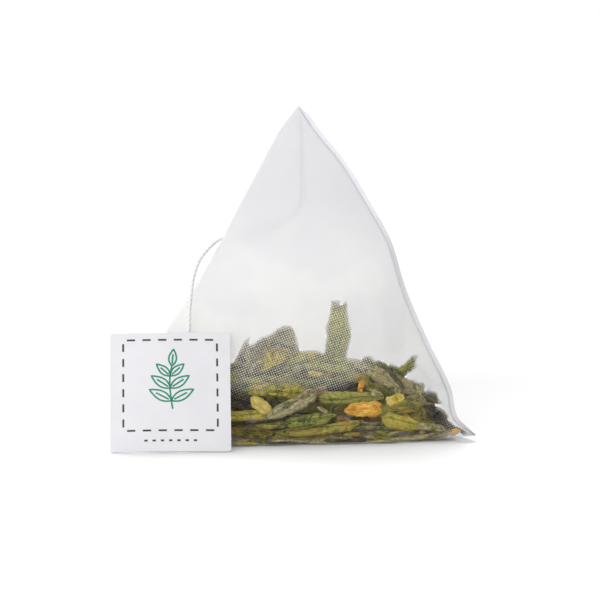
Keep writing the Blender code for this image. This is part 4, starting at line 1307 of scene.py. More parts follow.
class Bed:
    """Heights of what lies below, over a flat net of cells in a frame of its own."""

    CELL = 0.5 * MM
    # An empty cell's height, and the height above which a cell counts as known
    EMPTY = -0.1
    KNOWN = -0.05
    # A piece leans with the bed if it stands over more known cells than this, and no steeper than this
    CELLS_TO_LEAN = 5
    STEEPEST = 0.7
    # The share of a piece's points that end up clear of the bed
    CLEAR_SHARE = 0.9

    def __init__(self, origin: ndarray, axes: ndarray, half_size: float) -> None:
        """Start an empty bed.

        Args:
            origin: The middle of its net.
            axes: Its along, across and upward directions, as rows.
            half_size: Half the width of its net.
        """
        self.origin, self.axes, self.low = np.array(origin), np.array(axes), -half_size
        count = int(2.0 * half_size / self.CELL) + 1
        self.height = np.full((count, count), self.EMPTY)

    def cells(self, bed_points: ndarray) -> ndarray:
        """The cell that each point stands over."""
        return np.clip(((bed_points[:, :2] - self.low) / self.CELL).astype(int), 1, len(self.height) - 2)

    def cover(self, points: ndarray) -> None:
        """Raise the bed to some points.

        Args:
            points: Points in the world.
        """
        bed_points = (points - self.origin) @ self.axes.T
        cells = self.cells(bed_points)
        np.maximum.at(self.height, (cells[:, 0], cells[:, 1]), bed_points[:, 2])

    def lay(self, skeleton: Skeleton, spot: ndarray, own_turn: ndarray, gap: float) -> Skeleton:
        """Lower a piece onto the bed.

        Args:
            skeleton: The piece's skeleton, round the origin.
            spot: Where on the bed its middle comes down, along and across.
            own_turn: How it is turned before it leans with the bed.
            gap: How far above the bed it stays.

        Returns:
            Its skeleton where it lies, in the world.
        """
        flat = skeleton.moved(own_turn, np.array([spot[0], spot[1], 0.0])).outer_points()
        under = np.unique(self.cells(flat), axis=0)
        heights = self.height[under[:, 0], under[:, 1]]
        known = heights > self.KNOWN
        tilt = np.eye(3)
        if known.sum() > self.CELLS_TO_LEAN:
            table = np.column_stack([under[known] * self.CELL, np.ones(known.sum())])
            slopes = np.linalg.lstsq(table, heights[known], rcond=None)[0][:2].clip(-self.STEEPEST, self.STEEPEST)
            normal = Vector((-slopes[0], -slopes[1], 1.0)).normalized()
            tilt = np.array(Vector((0.0, 0.0, 1.0)).rotation_difference(normal).to_matrix())
        laid = skeleton.moved(tilt @ own_turn, np.array([spot[0], spot[1], 0.0]))
        points = laid.outer_points()
        cells = self.cells(points)
        rise = float(np.quantile(self.height[cells[:, 0], cells[:, 1]] + gap - points[:, 2], self.CLEAR_SHARE))
        return laid.moved(self.axes.T, self.origin + rise * self.axes[2])


@dataclass(frozen=True)
class Spread:
    """One handful of broken pieces: how many, their greatest sizes in millimetres, and how far inside the wall."""

    count: int
    length: float
    width: float
    inside: float
    against_wall: bool = False
    highest: float = 15.0


# The slot and skeleton of each piece that has found its place
Laid = list[tuple[str, Skeleton]]


@dataclass
class Crumbs:
    """Broken leaf, stalk and petal that fills the hollows between the whole leaves."""

    seed: int = 5
    gap: float = 0.03 * MM
    # The two beds: half their width, how deep the front one may be filled, and the lower one's floor
    bed_half: float = 40.0 * MM
    deepest: float = 4.5 * MM
    floor: float = 0.3 * MM
    # Pieces against the front wall spread this far to either side in millimetres, and crowd towards its foot
    beside: float = 32.0
    crowding: float = 1.2
    petal_length: float = 4.0
    wall_cuts: int = 23
    edge_points: int = 41
    first_number: int = 100
    # A piece may stand before a whole leaf with this share of its points, counting leaves up to so far behind it
    hidden_share: float = 0.25
    before: float = 5.0 * MM
    spreads: tuple[Spread, ...] = (
        Spread(180, 13.0, 3.2, 0.5), Spread(260, 8.0, 2.6, 0.5), Spread(420, 5.0, 2.0, 0.45),
        Spread(200, 10.0, 2.4, 1.6, True), Spread(200, 6.5, 1.8, 1.4, True), Spread(120, 5.0, 1.2, 0.9, True, 5.0),
    )
    # How high the heap looks from the front, left to right, in millimetres
    crest: Knots = (
        (-34.0, 6.0), (-26.0, 12.0), (-16.0, 15.5), (-12.0, 15.5), (-9.0, 16.3), (-5.0, 18.0), (-1.5, 18.3),
        (0.6, 17.0), (5.0, 17.4), (9.0, 17.4), (10.5, 16.2), (12.6, 14.9), (15.0, 15.2), (17.3, 13.2),
        (20.0, 12.1), (22.8, 9.8), (26.5, 7.6), (29.2, 5.2), (32.0, 2.6), (34.0, 1.0),
    )
    # The finishes that fall to the scattered pieces, and further on to those in the rows
    shares: Shares = (
        ("leaf_olive", 0.25), ("leaf_green", 0.32), ("leaf_grey", 0.21), ("leaf_yellow_green", 0.10),
        ("leaf_dark", 0.08), ("petal_tan", 0.03), ("petal_yellow", 0.006), ("petal_orange", 0.004),
    )
    # Pieces set one by one behind gaps: along, in from the front edge, up, length, width in millimetres, turn and
    # lean in degrees
    set_pieces: tuple[tuple[Any, ...], ...] = (
        (14.5, 7.0, 8.0, 9.0, 3.4, -12.0, 60.0, "leaf_green"), (19.0, 5.5, 5.6, 10.0, 3.6, 6.0, 65.0, "leaf_green"),
        (23.5, 4.5, 4.4, 8.0, 3.0, -8.0, 65.0, "leaf_olive"), (22.0, 7.5, 6.8, 9.0, 3.4, 14.0, 60.0, "leaf_grey"),
        (9.5, 8.0, 10.0, 9.0, 3.4, 8.0, 60.0, "leaf_olive"), (17.5, 9.0, 8.6, 9.0, 3.6, -18.0, 60.0, "leaf_grey"),
        (12.0, 9.0, 11.2, 8.0, 3.6, -20.0, 55.0, "leaf_green"), (25.5, 5.5, 5.0, 6.5, 2.6, -25.0, 60.0, "leaf_grey"),
        (9.0, 12.0, 12.6, 8.0, 3.6, -10.0, 50.0, "leaf_green"), (19.5, 8.0, 9.6, 7.0, 3.4, -30.0, 60.0, "leaf_grey"),
        # The dark pieces at the right tip stand in part for painted shade there
        (27.2, 2.8, 3.4, 4.5, 1.6, -40.0, 60.0, "leaf_dark"), (28.8, 2.1, 2.5, 3.6, 1.2, -38.0, 60.0, "leaf_dark"),
        (30.3, 1.5, 1.9, 3.0, 0.8, -32.0, 60.0, "leaf_dark"), (2.0, 12.0, 14.0, 8.0, 3.4, 5.0, 50.0, "leaf_olive"),
        (4.0, 8.0, 9.5, 10.0, 3.4, 4.0, 60.0, "leaf_green"), (-4.0, 8.0, 10.0, 10.0, 3.6, -4.0, 60.0, "leaf_green"),
    )
    # Thickness in millimetres, bend and twist, of the set pieces and of those in the rows
    set_body: tuple[float, float, float] = (0.6, 0.05, 0.2)
    row_body: tuple[float, float, float] = (0.5, 0.01, 0.1)
    # Rows along the front fold: in from it, up from it, width and greatest length in millimetres
    edge_rows: Rows = (
        (0.72, 0.45, 1.0, 9.0), (1.35, 0.65, 1.2, 9.0), (2.6, 0.55, 1.6, 6.0), (3.8, 0.7, 2.0, 5.0),
        (5.0, 0.9, 2.0, 5.0), (6.2, 1.1, 2.2, 5.0), (7.4, 1.3, 2.2, 6.0), (8.8, 1.8, 2.4, 6.0),
    )
    edge_step: float = 1.7 * MM
    edge_inside: float = 0.06 * MM
    edge_tilt: float = 0.55
    # Left to chance for a row's piece: its share of length and of width, its sway and tilt in radians, its place
    edge_lengths: Pair = (0.45, 1.0)
    edge_widths: Pair = (0.8, 1.2)
    edge_sway: Pair = (0.05, 0.04)
    edge_tilts: Pair = (-0.3, 0.4)
    edge_places: Pair = (0.9, 1.15)
    # Left to chance for other pieces: their share of length and of width, thickness in millimetres, and turns
    lengths: Pair = (0.35, 1.0)
    widths: Pair = (0.45, 1.0)
    slenderness: float = 0.4
    thicknesses: Pair = (0.35, 0.75)
    bends: Pair = (0.0, 0.1)
    twists: Pair = (-0.5, 0.5)
    heap_turn: float = 0.6
    wall_turn: float = 0.3
    leans: Pair = (-0.6, 0.6)
    edge_shares: Shares = (
        ("leaf_grey", 0.42), ("leaf_olive", 0.20), ("leaf_green", 0.20), ("leaf_dark", 0.10), ("petal_tan", 0.05),
        ("leaf_yellow_green", 0.03),
    )

    def behind_gaps(self, pouch: "GauzePouch") -> Laid:
        """Set pieces where gaps between the whole leaves would show daylight.

        Args:
            pouch: The pouch that holds them.

        Returns:
            The slot and skeleton of each piece.
        """
        found = []
        thick, bend, twist = self.set_body
        for x, depth, z, length, width, turn, lean, slot in self.set_pieces:
            y = np.interp(x * MM, pouch.corners[:2, 0], pouch.corners[:2, 1]) + depth * MM
            skeleton = Skeleton.of_sizes(length * MM, width * MM, thick * MM, bend, twist)
            turns = turned("Y", math.radians(-turn)) @ turned("X", math.radians(lean))
            found.append((slot, skeleton.moved(turns, np.array([x * MM, y, z * MM]))))
        return found

    def along_edge(self, pouch: "GauzePouch", wall: BVHTree, seen: BVHTree, rng: random.Random) -> Laid:
        """Lay rows of pieces into the fold at the bottom of the front wall.

        Args:
            pouch: The pouch that holds them.
            wall: Its skin.
            seen: The whole leaves that show from the front.
            rng: The seeded source of their sizes.

        Returns:
            The slot and skeleton of each piece.
        """
        t = np.linspace(0.0, 1.0, self.edge_points)
        shares = np.column_stack([1.0 - t, t, np.zeros_like(t), np.zeros_like(t)])
        edge = pouch.points(shares)
        slots, weights = zip(*self.edge_shares)
        thick, bend, twist = self.row_body
        found = []
        for inward, upward, width, length in self.edge_rows:
            for x in np.arange(edge[1, 0], edge[-2, 0], self.edge_step):
                foot = np.array([x, np.interp(x, edge[:, 0], edge[:, 1]), np.interp(x, edge[:, 0], edge[:, 2])])
                ahead = np.interp(x + MM, edge[:, 0], edge[:, 1]) - foot[1]
                rise = np.interp(x + MM, edge[:, 0], edge[:, 2]) - foot[2]
                run = length * rng.uniform(*self.edge_lengths)
                across = width * rng.uniform(*self.edge_widths)
                skeleton = Skeleton.of_sizes(run * MM, across * MM, thick * MM, bend, twist)
                heading = turned("Z", math.atan2(ahead, MM) + rng.gauss(0.0, self.edge_sway[0]))
                climb = turned("Y", -math.atan2(rise, MM) + rng.gauss(0.0, self.edge_sway[1]))
                turns = heading @ climb @ turned("X", self.edge_tilt + rng.uniform(*self.edge_tilts))
                place = foot + rng.uniform(*self.edge_places) * MM * np.array([0.0, inward, upward])
                laid = skeleton.moved(turns, place)
                slot = rng.choices(slots, weights)[0]
                if self.held(wall, laid, self.edge_inside) and not self.hides(seen, laid):
                    found.append((slot, laid))
        return found

    def piece(self, rng: random.Random, spread: Spread, longest: float) -> Skeleton:
        """Break off one piece.

        Args:
            rng: The seeded source of its sizes.
            spread: The handful that it belongs to.
            longest: The greatest length of its kind, in millimetres.

        Returns:
            Its skeleton.
        """
        length = min(spread.length * rng.uniform(*self.lengths), longest) * MM
        width = min(spread.width * rng.uniform(*self.widths), self.slenderness * longest) * MM
        return Skeleton.of_sizes(length, width, rng.uniform(*self.thicknesses) * MM, rng.uniform(*self.bends),
                                 rng.uniform(*self.twists))

    def scatter(self, pouch: "GauzePouch", leaves: Pieces) -> Laid:
        """Drop pieces on the heap, then push others into the hollows behind the front wall.

        Args:
            pouch: The pouch that holds them.
            leaves: The whole leaves.

        Returns:
            The slot and skeleton of each piece.
        """
        rng = random.Random(self.seed)
        skin, _shares = pouch.skin(self.wall_cuts)
        wall = BVHTree.FromBMesh(skin)
        skin.free()
        left, right = pouch.corners[:2]
        out = pouch.outward(Corner.LEFT, Corner.RIGHT, Corner.TOP)
        along = unit((right - left) * [1.0, 1.0, 0.0])
        heap = Bed(np.zeros(3), np.eye(3), self.bed_half)
        front = Bed(0.5 * (left + right), np.array([along, np.cross(out, along), out]), self.bed_half)
        for bed, lowest in ((heap, self.floor), (front, -self.deepest)):
            bed.cover(np.concatenate([points_of(leaf.data) for leaf in leaves]))
            bed.height = np.maximum(bed.height, lowest)

        seen = tree_of([leaf for leaf in leaves if LeafHeap.hidden_word not in leaf.name])
        found = self.along_edge(pouch, wall, seen, rng) + self.behind_gaps(pouch)
        for _slot, piece in found:
            heap.cover(piece.outer_points())
            front.cover(piece.outer_points())
        slots, weights = zip(*self.shares)
        for spread in self.spreads:
            for _number in range(spread.count):
                slot = rng.choices(slots, weights)[0]
                skeleton = self.piece(rng, spread, self.petal_length if slot.startswith("petal") else spread.length)
                if spread.against_wall:
                    aside = rng.uniform(-self.beside, self.beside)
                    spot = np.array([aside, spread.highest * rng.random() ** self.crowding]) * MM
                    turn = turned("Z", rng.gauss(0.0, self.wall_turn)) @ turned("X", rng.uniform(*self.leans))
                    laid = front.lay(skeleton, spot, turn, self.gap)
                else:
                    mix = sorted((rng.random(), rng.random()))
                    spot = np.array([mix[0], mix[1] - mix[0], 1.0 - mix[1]]) @ pouch.corners[:3]
                    turn = turned("Z", rng.gauss(0.0, self.heap_turn)) @ turned("X", rng.uniform(*self.leans))
                    laid = heap.lay(skeleton, spot[:2], turn, self.gap)
                kept = self.below_crest(laid) and self.held(wall, laid, spread.inside * MM)
                if kept and not self.hides(seen, laid):
                    found.append((slot, laid))
                    heap.cover(laid.outer_points())
                    front.cover(laid.outer_points())
        return found

    def below_crest(self, piece: Skeleton) -> bool:
        """Whether a piece stays below the heap's crest, as seen from the front.

        Args:
            piece: The piece where it lies.

        Returns:
            True if no point of it looks higher.
        """
        seen_from = Viewpoint()
        points = (piece.outer_points() - seen_from.aim) / MM
        raised = points[:, 2] * math.cos(seen_from.elevation) + points[:, 1] * math.sin(seen_from.elevation)
        return not (raised > np.interp(points[:, 0], *np.transpose(self.crest))).any()

    def hides(self, seen: BVHTree, piece: Skeleton) -> bool:
        """Whether a piece lies before a whole leaf, as seen from the front.

        Args:
            seen: The whole leaves.
            piece: The piece where it lies.

        Returns:
            True if it would hide more than a little of one.
        """
        points = piece.outer_points()
        view = Viewpoint().view()
        hits = sum(seen.ray_cast(Vector(point), view, self.before)[0] is not None for point in points)
        return hits > self.hidden_share * len(points)

    def held(self, wall: BVHTree, piece: Skeleton, inside: float) -> bool:
        """Whether a piece lies inside the pouch, clear of its wall.

        Args:
            wall: The pouch's skin.
            piece: The piece where it lies.
            inside: How far inside the skin it must stay.

        Returns:
            True if it has room.
        """
        for point in piece.outer_points():
            nearest, normal, _face, _distance = wall.find_nearest(Vector(point))
            if nearest is None or (Vector(point) - nearest).dot(normal) > -inside:
                return False
        return True

    def build(self, pouch: "GauzePouch", leaves: Pieces,
              materials: dict[str, Material]) -> list[Object]:
        """Make the broken pieces, in one object for each finish.

        Args:
            pouch: The pouch that holds them.
            leaves: The whole leaves.
            materials: The finishes' materials, by slot.

        Returns:
            The finished objects.
        """
        groups: dict[str, BMesh] = {}
        for number, (slot, skeleton) in enumerate(self.scatter(pouch, leaves), self.first_number):
            crumb = DriedLeaf(skeleton, Habit.CRUMB, number).mesh()
            loose = bpy.data.meshes.new("crumb")
            crumb.to_mesh(loose)
            crumb.free()
            if slot not in groups:
                groups[slot] = bmesh.new()
            groups[slot].from_mesh(loose)
            bpy.data.meshes.remove(loose)
        made = []
        for slot, bm in groups.items():
            piece = make_object("broken_" + slot, bm, [materials[slot]])
            hand_in(piece, slot)
            made.append(piece)
        return made


# ---------------------------------------------------------------- pouch

# What each vertex of the gauze carries for its material
GAUZE_LAYERS = ("pressed", "haze")


@dataclass(frozen=True)
class GauzeFinish:
    """Plain-woven nylon gauze, white: see-through between its threads, with a painted highlight at each crossing."""

    name: str
    solid: float
    # Real gauze for tea has about 0.4 mm from thread to thread, which is just coarse enough to show
    pitch_mm: float = 0.43
    thread_share: float = 0.44
    thread: str = "#F8F8FB"
    # Colour of the painted sheen in soft patches
    gloss: str = "#FFFFFF"
    # Colour of the painted shade that greys the web up the bag and to its right
    drawn: str = "#EAEAED"
    # Colour of the painted shade at the right tip
    folded: str = "#B8B8BC"
    # Colour of the painted highlight at each crossing
    knuckle_glint: str = "#FFFFFF"
    thread_cover: float = 0.21
    knuckle_cover: float = 1.0
    gap_cover: float = 0.04
    haze_cover: float = 0.74
    pressed_cover: float = 0.12
    # How far beyond a thread's half width its cover fades out, and how far within it the cover is full
    thread_edges: Pair = (0.06, 0.10)
    # What the haze leaves of the threads' cover and of the painted highlight at the crossings
    haze_weave: float = 0.03
    haze_knuckle: float = 0.04
    # Soft patches of painted sheen, about 14 mm across
    cloud_scale: float = 75.0
    cloud: Pair = (0.42, 0.58)
    # From where to where, in metres, painted shade greys the web up the bag and to its right, and darkens it at the
    # right tip
    drawn_up: Pair = (0.028, 0.045)
    shaded_beside: Pair = (0.010, 0.028)
    beside_share: float = 0.5
    shaded_tip: Pair = (0.0285, 0.034)
    roughness: float = 0.42
    through_share: float = 0.45

    def material(self) -> Material:
        """Make the gauze's material.

        Returns:
            A weave of threads with clear gaps, on its own map in millimetres, which blurs to haze where no tea is near.
        """
        graph = Graph.of_material(self.name)
        spot = graph.add("SeparateXYZ", graph.add("UVMap", uv_map="weave")).node.outputs
        pressed, haze = (graph.add("Attribute", attribute_name=name, out="Fac") for name in GAUZE_LAYERS)
        half = 0.5 * self.thread_share
        fade_out, fade_in = self.thread_edges
        threads = []
        for axis in ("X", "Y"):
            count = graph.add("Math", spot[axis], self.pitch_mm, operation="DIVIDE")
            place = graph.add("Math", count, operation="FRACT")
            off = graph.add("Math", graph.add("Math", place, 0.5, operation="SUBTRACT"), operation="ABSOLUTE")
            threads.append(graph.add("MapRange", off, half + fade_out, half - fade_in, 0.0, 1.0,
                                     interpolation_type="SMOOTHSTEP"))
        crossing = graph.add("Math", *threads, operation="MULTIPLY")
        either = graph.add("Math", *threads, operation="MAXIMUM")
        threads_only = graph.add("MapRange", either, 0.0, 1.0, self.gap_cover, self.thread_cover)
        weave = graph.add("Mix", named={"Factor": crossing, "A": threads_only, "B": self.knuckle_cover},
                          data_type="FLOAT", out="Result")
        hazy = graph.add("Math", weave, self.haze_weave, self.haze_cover, operation="MULTIPLY_ADD")
        cover = graph.add("Mix", named={"Factor": haze, "A": weave, "B": hazy}, data_type="FLOAT", out="Result")
        thin = graph.add("MapRange", pressed, 0.0, 1.0, self.solid, self.pressed_cover * self.solid)
        cover = graph.add("Math", cover, thin, operation="MULTIPLY", use_clamp=True)
        # The crossings get a painted highlight, which the haze all but takes away
        knuckles = graph.add("MapRange", haze, 0.0, 1.0, 1.0, self.haze_knuckle)
        bright = graph.add("Math", crossing, knuckles, operation="MULTIPLY")
        # Painted sheen in soft patches about 14 mm across, and painted shade that greys the film up the bag, to its
        # right and at its right tip
        place = graph.add("TexCoord", out="Object")
        cloud = graph.add("TexNoise", place, named={"Scale": self.cloud_scale, "Detail": 2.0, "Roughness": 0.6},
                          out="Fac")
        spot = graph.add("SeparateXYZ", place).node.outputs
        # Factors for the painted sheen, the painted shade up the bag and to its right, and the painted shade at the
        # right tip
        patch, up, beside, tip = (
            graph.add("MapRange", value, *span, 0.0, most, interpolation_type="SMOOTHSTEP") for value, span, most in (
                (cloud, self.cloud, 1.0), (spot["Z"], self.drawn_up, 1.0),
                (spot["X"], self.shaded_beside, self.beside_share), (spot["X"], self.shaded_tip, 1.0)))
        # Painted shade, greyer up the bag and to its right
        drawn = graph.add("Math", up, beside, operation="MAXIMUM")
        colour = linear(self.thread)
        for factor, tone in ((patch, self.gloss), (drawn, self.drawn), (tip, self.folded), (bright, self.knuckle_glint)):
            colour = graph.add("Mix", named={"Factor": factor, "A": colour, "B": linear(tone)}, data_type="RGBA",
                               out="Result")
        face = graph.add("BsdfPrincipled", named={"Base Color": colour, "Roughness": self.roughness})
        through = graph.add("BsdfTranslucent", colour)
        thread = graph.add("MixShader", self.through_share, face, through)
        return graph.finish(graph.add("MixShader", cover, graph.add("BsdfTransparent"), thread))


class Corner(IntEnum):
    """The pouch's corners: three on the table, and the top."""

    LEFT = 0
    RIGHT = 1
    BACK = 2
    TOP = 3


@dataclass
class GauzePouch:
    """The filled pouch: one web of gauze folded and sealed into a pyramid."""

    outer: GauzeFinish = GauzeFinish("nylon_gauze", 1.0)
    inner: GauzeFinish = GauzeFinish("nylon_gauze_inside", 0.0)
    # The seals get a greyer colour than the web: painted shade
    pressed_seal: GauzeFinish = GauzeFinish("nylon_seal", 1.0, thread="#D2D2D5", gloss="#DADADD", haze_cover=0.90)
    seal_width: float = 0.8 * MM
    seal_root: float = 0.1 * MM
    seal_thickness: float = 0.1 * MM
    seal_taper: float = 0.04
    seal_length_mm: float = 60.0
    seal_faces: tuple[int, int] = (160, 4)
    front_width: float = 66.8 * MM
    base_depth: float = 56.0 * MM
    top_height: float = 60.6 * MM
    top_setback: float = 24.0 * MM
    top_shift: float = 0.4 * MM
    front_turn: float = math.radians(5.0)
    tip_lifts: tuple[float, float, float] = (0.5 * MM, 1.2 * MM, 0.8 * MM)
    bulges: tuple[float, float, float, float] = (2.4 * MM, 2.8 * MM, 2.4 * MM, 2.2 * MM)
    low_lean: float = 0.9
    cuts: int = 119
    wall: float = 0.08 * MM
    right_edge: Knots = (
        (0.0, 0.0), (0.08, 0.45), (0.18, 1.85), (0.32, 2.5), (0.44, 2.5),
        (0.56, 0.8), (0.72, -0.3), (0.86, -0.8), (0.95, -2.1), (1.0, 0.0),
    )
    left_edge: Knots = (
        (0.0, 0.0), (0.07, 0.8), (0.2, 0.9), (0.42, 0.7), (0.54, 0.8), (0.67, 1.6), (0.85, 1.3), (1.0, 0.0),
    )
    plain_edge: Knots = ((0.0, 0.0), (0.2, 0.64), (0.5, 1.0), (0.8, 0.64), (1.0, 0.0))
    # How far the plain edges bow: out at the front of the foot, out at its sides, back up the back, and down
    front_bow: float = 1.8 * MM
    side_bow: float = 1.0 * MM
    back_bow: float = 1.2 * MM
    down_bow: float = 1.6 * MM
    # A point with less than this share of an edge's two corners is not on that edge
    least_share: float = 1e-9
    # The gauze lies a little unevenly: soft swells, outwards only, on the front and right walls
    ripple: float = 0.9 * MM
    ripple_size: float = 9.0 * MM
    rows_rise: float = math.radians(19.0)
    # Where a row of the weave starts and ends on the face that lacks each corner, in the corners' order
    rows: tuple[tuple[Corner, Corner], ...] = (
        (Corner.TOP, Corner.RIGHT), (Corner.LEFT, Corner.BACK), (Corner.LEFT, Corner.RIGHT), (Corner.LEFT, Corner.BACK),
    )
    # How high the tea holds the gauze flat along the bag, in millimetres
    filled_to: Knots = (
        (-34.0, 12.5), (-24.0, 11.5), (-13.0, 9.8), (0.0, 10.8), (7.0, 10.2), (12.0, 12.5), (16.0, 15.0),
        (21.0, 15.0), (24.0, 12.0), (28.0, 8.0), (34.0, 3.0),
    )
    # Heights from that line over which the gauze leaves the tea, and over which gaps in the tea begin to show
    filled_fade: Pair = (-1.4, 1.8)
    deep_fade: Pair = (-6.0, -3.5)
    # Towards the right tip less of it is pressed
    tip_fade: Pair = (26.0, 29.0)
    tip_loss: float = 0.5
    front_fade: float = 0.05
    # How near a leaf is where it touches, and where it no longer does
    touch: Pair = (0.6 * MM, 2.4 * MM)
    touch_share: float = 0.35
    # The empty gauze is more open between the tea and the neck, and less so to the right, in millimetres
    open_share: float = 0.10
    open_from: Pair = (19.0, 25.0)
    open_up_to: Pair = (24.0, 36.0)
    open_right_to: Pair = (6.0, 16.0)
    soften: int = 1
    ray_start: float = 0.2 * MM
    backed: Pair = (0.5, 0.95)
    # How far behind the other walls tea still shows through, below and above the top of the heap
    seen_deep: float = 40.0 * MM
    seen_near: float = 5.0 * MM
    heap_top: float = 17.0 * MM
    heap_wave: float = 7.0 * MM
    # The flat web: twice the length of a sealed edge, by the distance between the two sealed edges
    web: tuple[float, float] = (0.1415, 0.062)
    # The centre of the CAD pouch's own box before it was centred, in millimetres
    centre_mm: tuple[float, float, float] = (0.03, 26.38, 0.0)

    def __post_init__(self) -> None:
        """Work out the corners."""
        half = 0.5 * self.front_width
        along = np.array([math.cos(self.front_turn), math.sin(self.front_turn), 0.0])
        self.corners = np.array([
            -half * along + [0.0, 0.0, self.tip_lifts[0]],
            half * along + [0.0, 0.0, self.tip_lifts[1]],
            [0.0, self.base_depth, self.tip_lifts[2]],
            [self.top_shift, self.top_setback, self.top_height],
        ]) - np.array(self.centre_mm) * MM

    def outward(self, i: Corner, j: Corner, k: Corner) -> ndarray:
        """Find which way a face looks.

        Args:
            i, j, k: Its three corners.

        Returns:
            The unit normal of the flat face, away from the fourth corner.
        """
        a, b, c = self.corners[[i, j, k]]
        normal = unit(np.cross(b - a, c - a))
        return normal if np.dot(normal, a - self.corners.mean(axis=0)) > 0.0 else -normal

    def edge_outward(self, i: Corner, j: Corner, k: Corner) -> ndarray:
        """Find which way an edge of a face looks.

        Args:
            i, j, k: The face's corners, of which the first two are the edge's.

        Returns:
            The unit direction in the face that leads out over the edge.
        """
        a, b, c = self.corners[[i, j, k]]
        run = unit(b - a)
        return -unit((c - a) - np.dot(c - a, run) * run)

    def points(self, shares: ndarray) -> ndarray:
        """Where the skin lies for each row of corner shares.

        Args:
            shares: Rows of four shares that add up to 1.

        Returns:
            The points, pressed flat where they meet the table.
        """
        left, right, back, top = Corner
        bows = [(i, j, knots, size * self.edge_outward(i, j, other)) for i, j, other, knots, size in (
            (top, right, left, self.right_edge, MM), (top, left, right, self.left_edge, MM),
            (left, right, back, self.plain_edge, self.front_bow), (left, back, right, self.plain_edge, self.side_bow),
            (right, back, left, self.plain_edge, self.side_bow),
        )]
        bows.append((back, top, self.plain_edge, np.array([0.0, self.back_bow, 0.0])))
        down = np.array([0.0, 0.0, -self.down_bow])
        bows += [(i, j, self.plain_edge, down) for i, j in ((left, right), (left, back), (right, back))]
        places = shares @ self.corners
        for i, j, knots, bow in bows:
            both = shares[:, i] + shares[:, j]
            t = np.where(both > self.least_share, shares[:, j] / np.maximum(both, self.least_share), 0.5)
            places = places + (smooth_profile(knots, t) * both ** 3)[:, None] * bow
        faces = ((left, right, top), (right, back, top), (left, back, top), (left, right, back))
        for (i, j, k), bulge in zip(faces, self.bulges):
            out = self.outward(i, j, k)
            lean = self.low_lean if (i, j, k) == (left, right, top) else 0.0
            # 1 in the middle of the face, where each of its corners has a third
            crown = 27.0 * shares[:, i] * shares[:, j] * shares[:, k]
            low = 1.0 + lean * (1.0 / 3.0 - shares[:, top])
            places = places + (crown * low * bulge)[:, None] * out
            if left not in (i, j, k) or back not in (i, j, k):
                swell = 0.5 + 0.5 * noise_at(*(places / self.ripple_size).T)
                places = places + (np.sqrt(np.maximum(crown, 0.0)) * swell * self.ripple)[:, None] * out
        places[:, 2] = np.maximum(places[:, 2], 0.0)
        return places

    def weave_axes(self, missing: Corner) -> tuple[ndarray, ndarray]:
        """The two thread directions on the face that lacks one corner.

        Args:
            missing: The corner that the face doesn't touch.

        Returns:
            The directions along and across the rows, in the face's plane.
        """
        normal = self.outward(*(corner for corner in Corner if corner != missing))
        start, end = self.rows[missing]
        run = unit(self.corners[end] - self.corners[start])
        side = np.cross(normal, run)
        if missing == Corner.BACK:
            run, side = (math.cos(self.rows_rise) * run + math.sin(self.rows_rise) * side,
                         math.cos(self.rows_rise) * side - math.sin(self.rows_rise) * run)
        return run, side

    def skin(self, cuts: int) -> tuple[BMesh, ndarray]:
        """Make the pouch's closed skin.

        Args:
            cuts: How often each edge is cut.

        Returns:
            The skin, and each vertex's shares of the four corners.
        """
        bm = bmesh.new()
        bmesh.ops.create_cone(bm, cap_ends=True, segments=3, radius1=1.0, radius2=0.0, depth=1.0)
        bmesh.ops.remove_doubles(bm, verts=bm.verts, dist=SAME_POINT)
        for vert, place in zip(bm.verts, np.eye(4, 3, -1)):
            vert.co = place
        bmesh.ops.subdivide_edges(bm, edges=bm.edges[:], cuts=cuts, use_grid_fill=True)
        bm.verts.index_update()
        shares = np.array([(1.0 - sum(v.co), v.co.x, v.co.y, v.co.z) for v in bm.verts])
        for vert, place in zip(bm.verts, self.points(shares)):
            vert.co = place
        bmesh.ops.recalc_face_normals(bm, faces=bm.faces)
        return bm, shares

    def build(self, leaves: Pieces) -> Object:
        """Make the pouch's skin as a thin shell.

        Args:
            leaves: The leaves inside, which press on the gauze.

        Returns:
            The pouch.
        """
        bm, shares = self.skin(self.cuts)
        places = points_of(bm)
        x, z = places[:, 0] / MM, places[:, 2] / MM
        above = z - smooth_profile(self.filled_to, x)
        zone = (1.0 - smooth_step(*self.filled_fade, above)) * (1.0 - self.tip_loss * smooth_step(*self.tip_fade, x))
        front = 1.0 - smooth_step(0.0, self.front_fade, shares[:, Corner.BACK])
        # Well below the tea's top the gauze lies on tea everywhere, so its small gaps show dark and not white
        deep = front * (1.0 - smooth_step(*self.deep_fade, above))
        haze = (1.0 - self.backing(bm, front, leaves)) * (1.0 - deep)
        touched = self.touch_share * self.nearness(places, leaves, *self.touch)
        pressed = np.maximum(touched, zone * front * (1.0 - haze))
        # Below the neck the gauze is drawn out by its load, and more open
        open_share = self.open_share * smooth_step(*self.open_from, z) * (1.0 - smooth_step(*self.open_up_to, z))
        open_share = open_share * (1.0 - smooth_step(*self.open_right_to, x))
        pressed = np.maximum(pressed, open_share * haze)
        for name, values in zip(GAUZE_LAYERS, (pressed, haze)):
            layer = bm.verts.layers.float.new(name)
            for vert, value in zip(bm.verts, values):
                vert[layer] = float(value)
        weave = bm.loops.layers.uv.new("weave")
        axes = [self.weave_axes(missing) for missing in Corner]
        for face in bm.faces:
            mean = shares[[v.index for v in face.verts]].mean(axis=0)
            run, side = axes[int(np.argmin(mean))]
            for loop in face.loops:
                place = places[loop.vert.index]
                loop[weave].uv = (np.dot(place, run) / MM, np.dot(place, side) / MM)
        pouch = make_object("gauze_pouch", bm, [self.outer.material(), self.inner.material()])
        shell = pouch.modifiers.new("wall", "SOLIDIFY")
        shell.thickness = self.wall
        shell.offset = -1.0
        shell.material_offset = 1
        return pouch

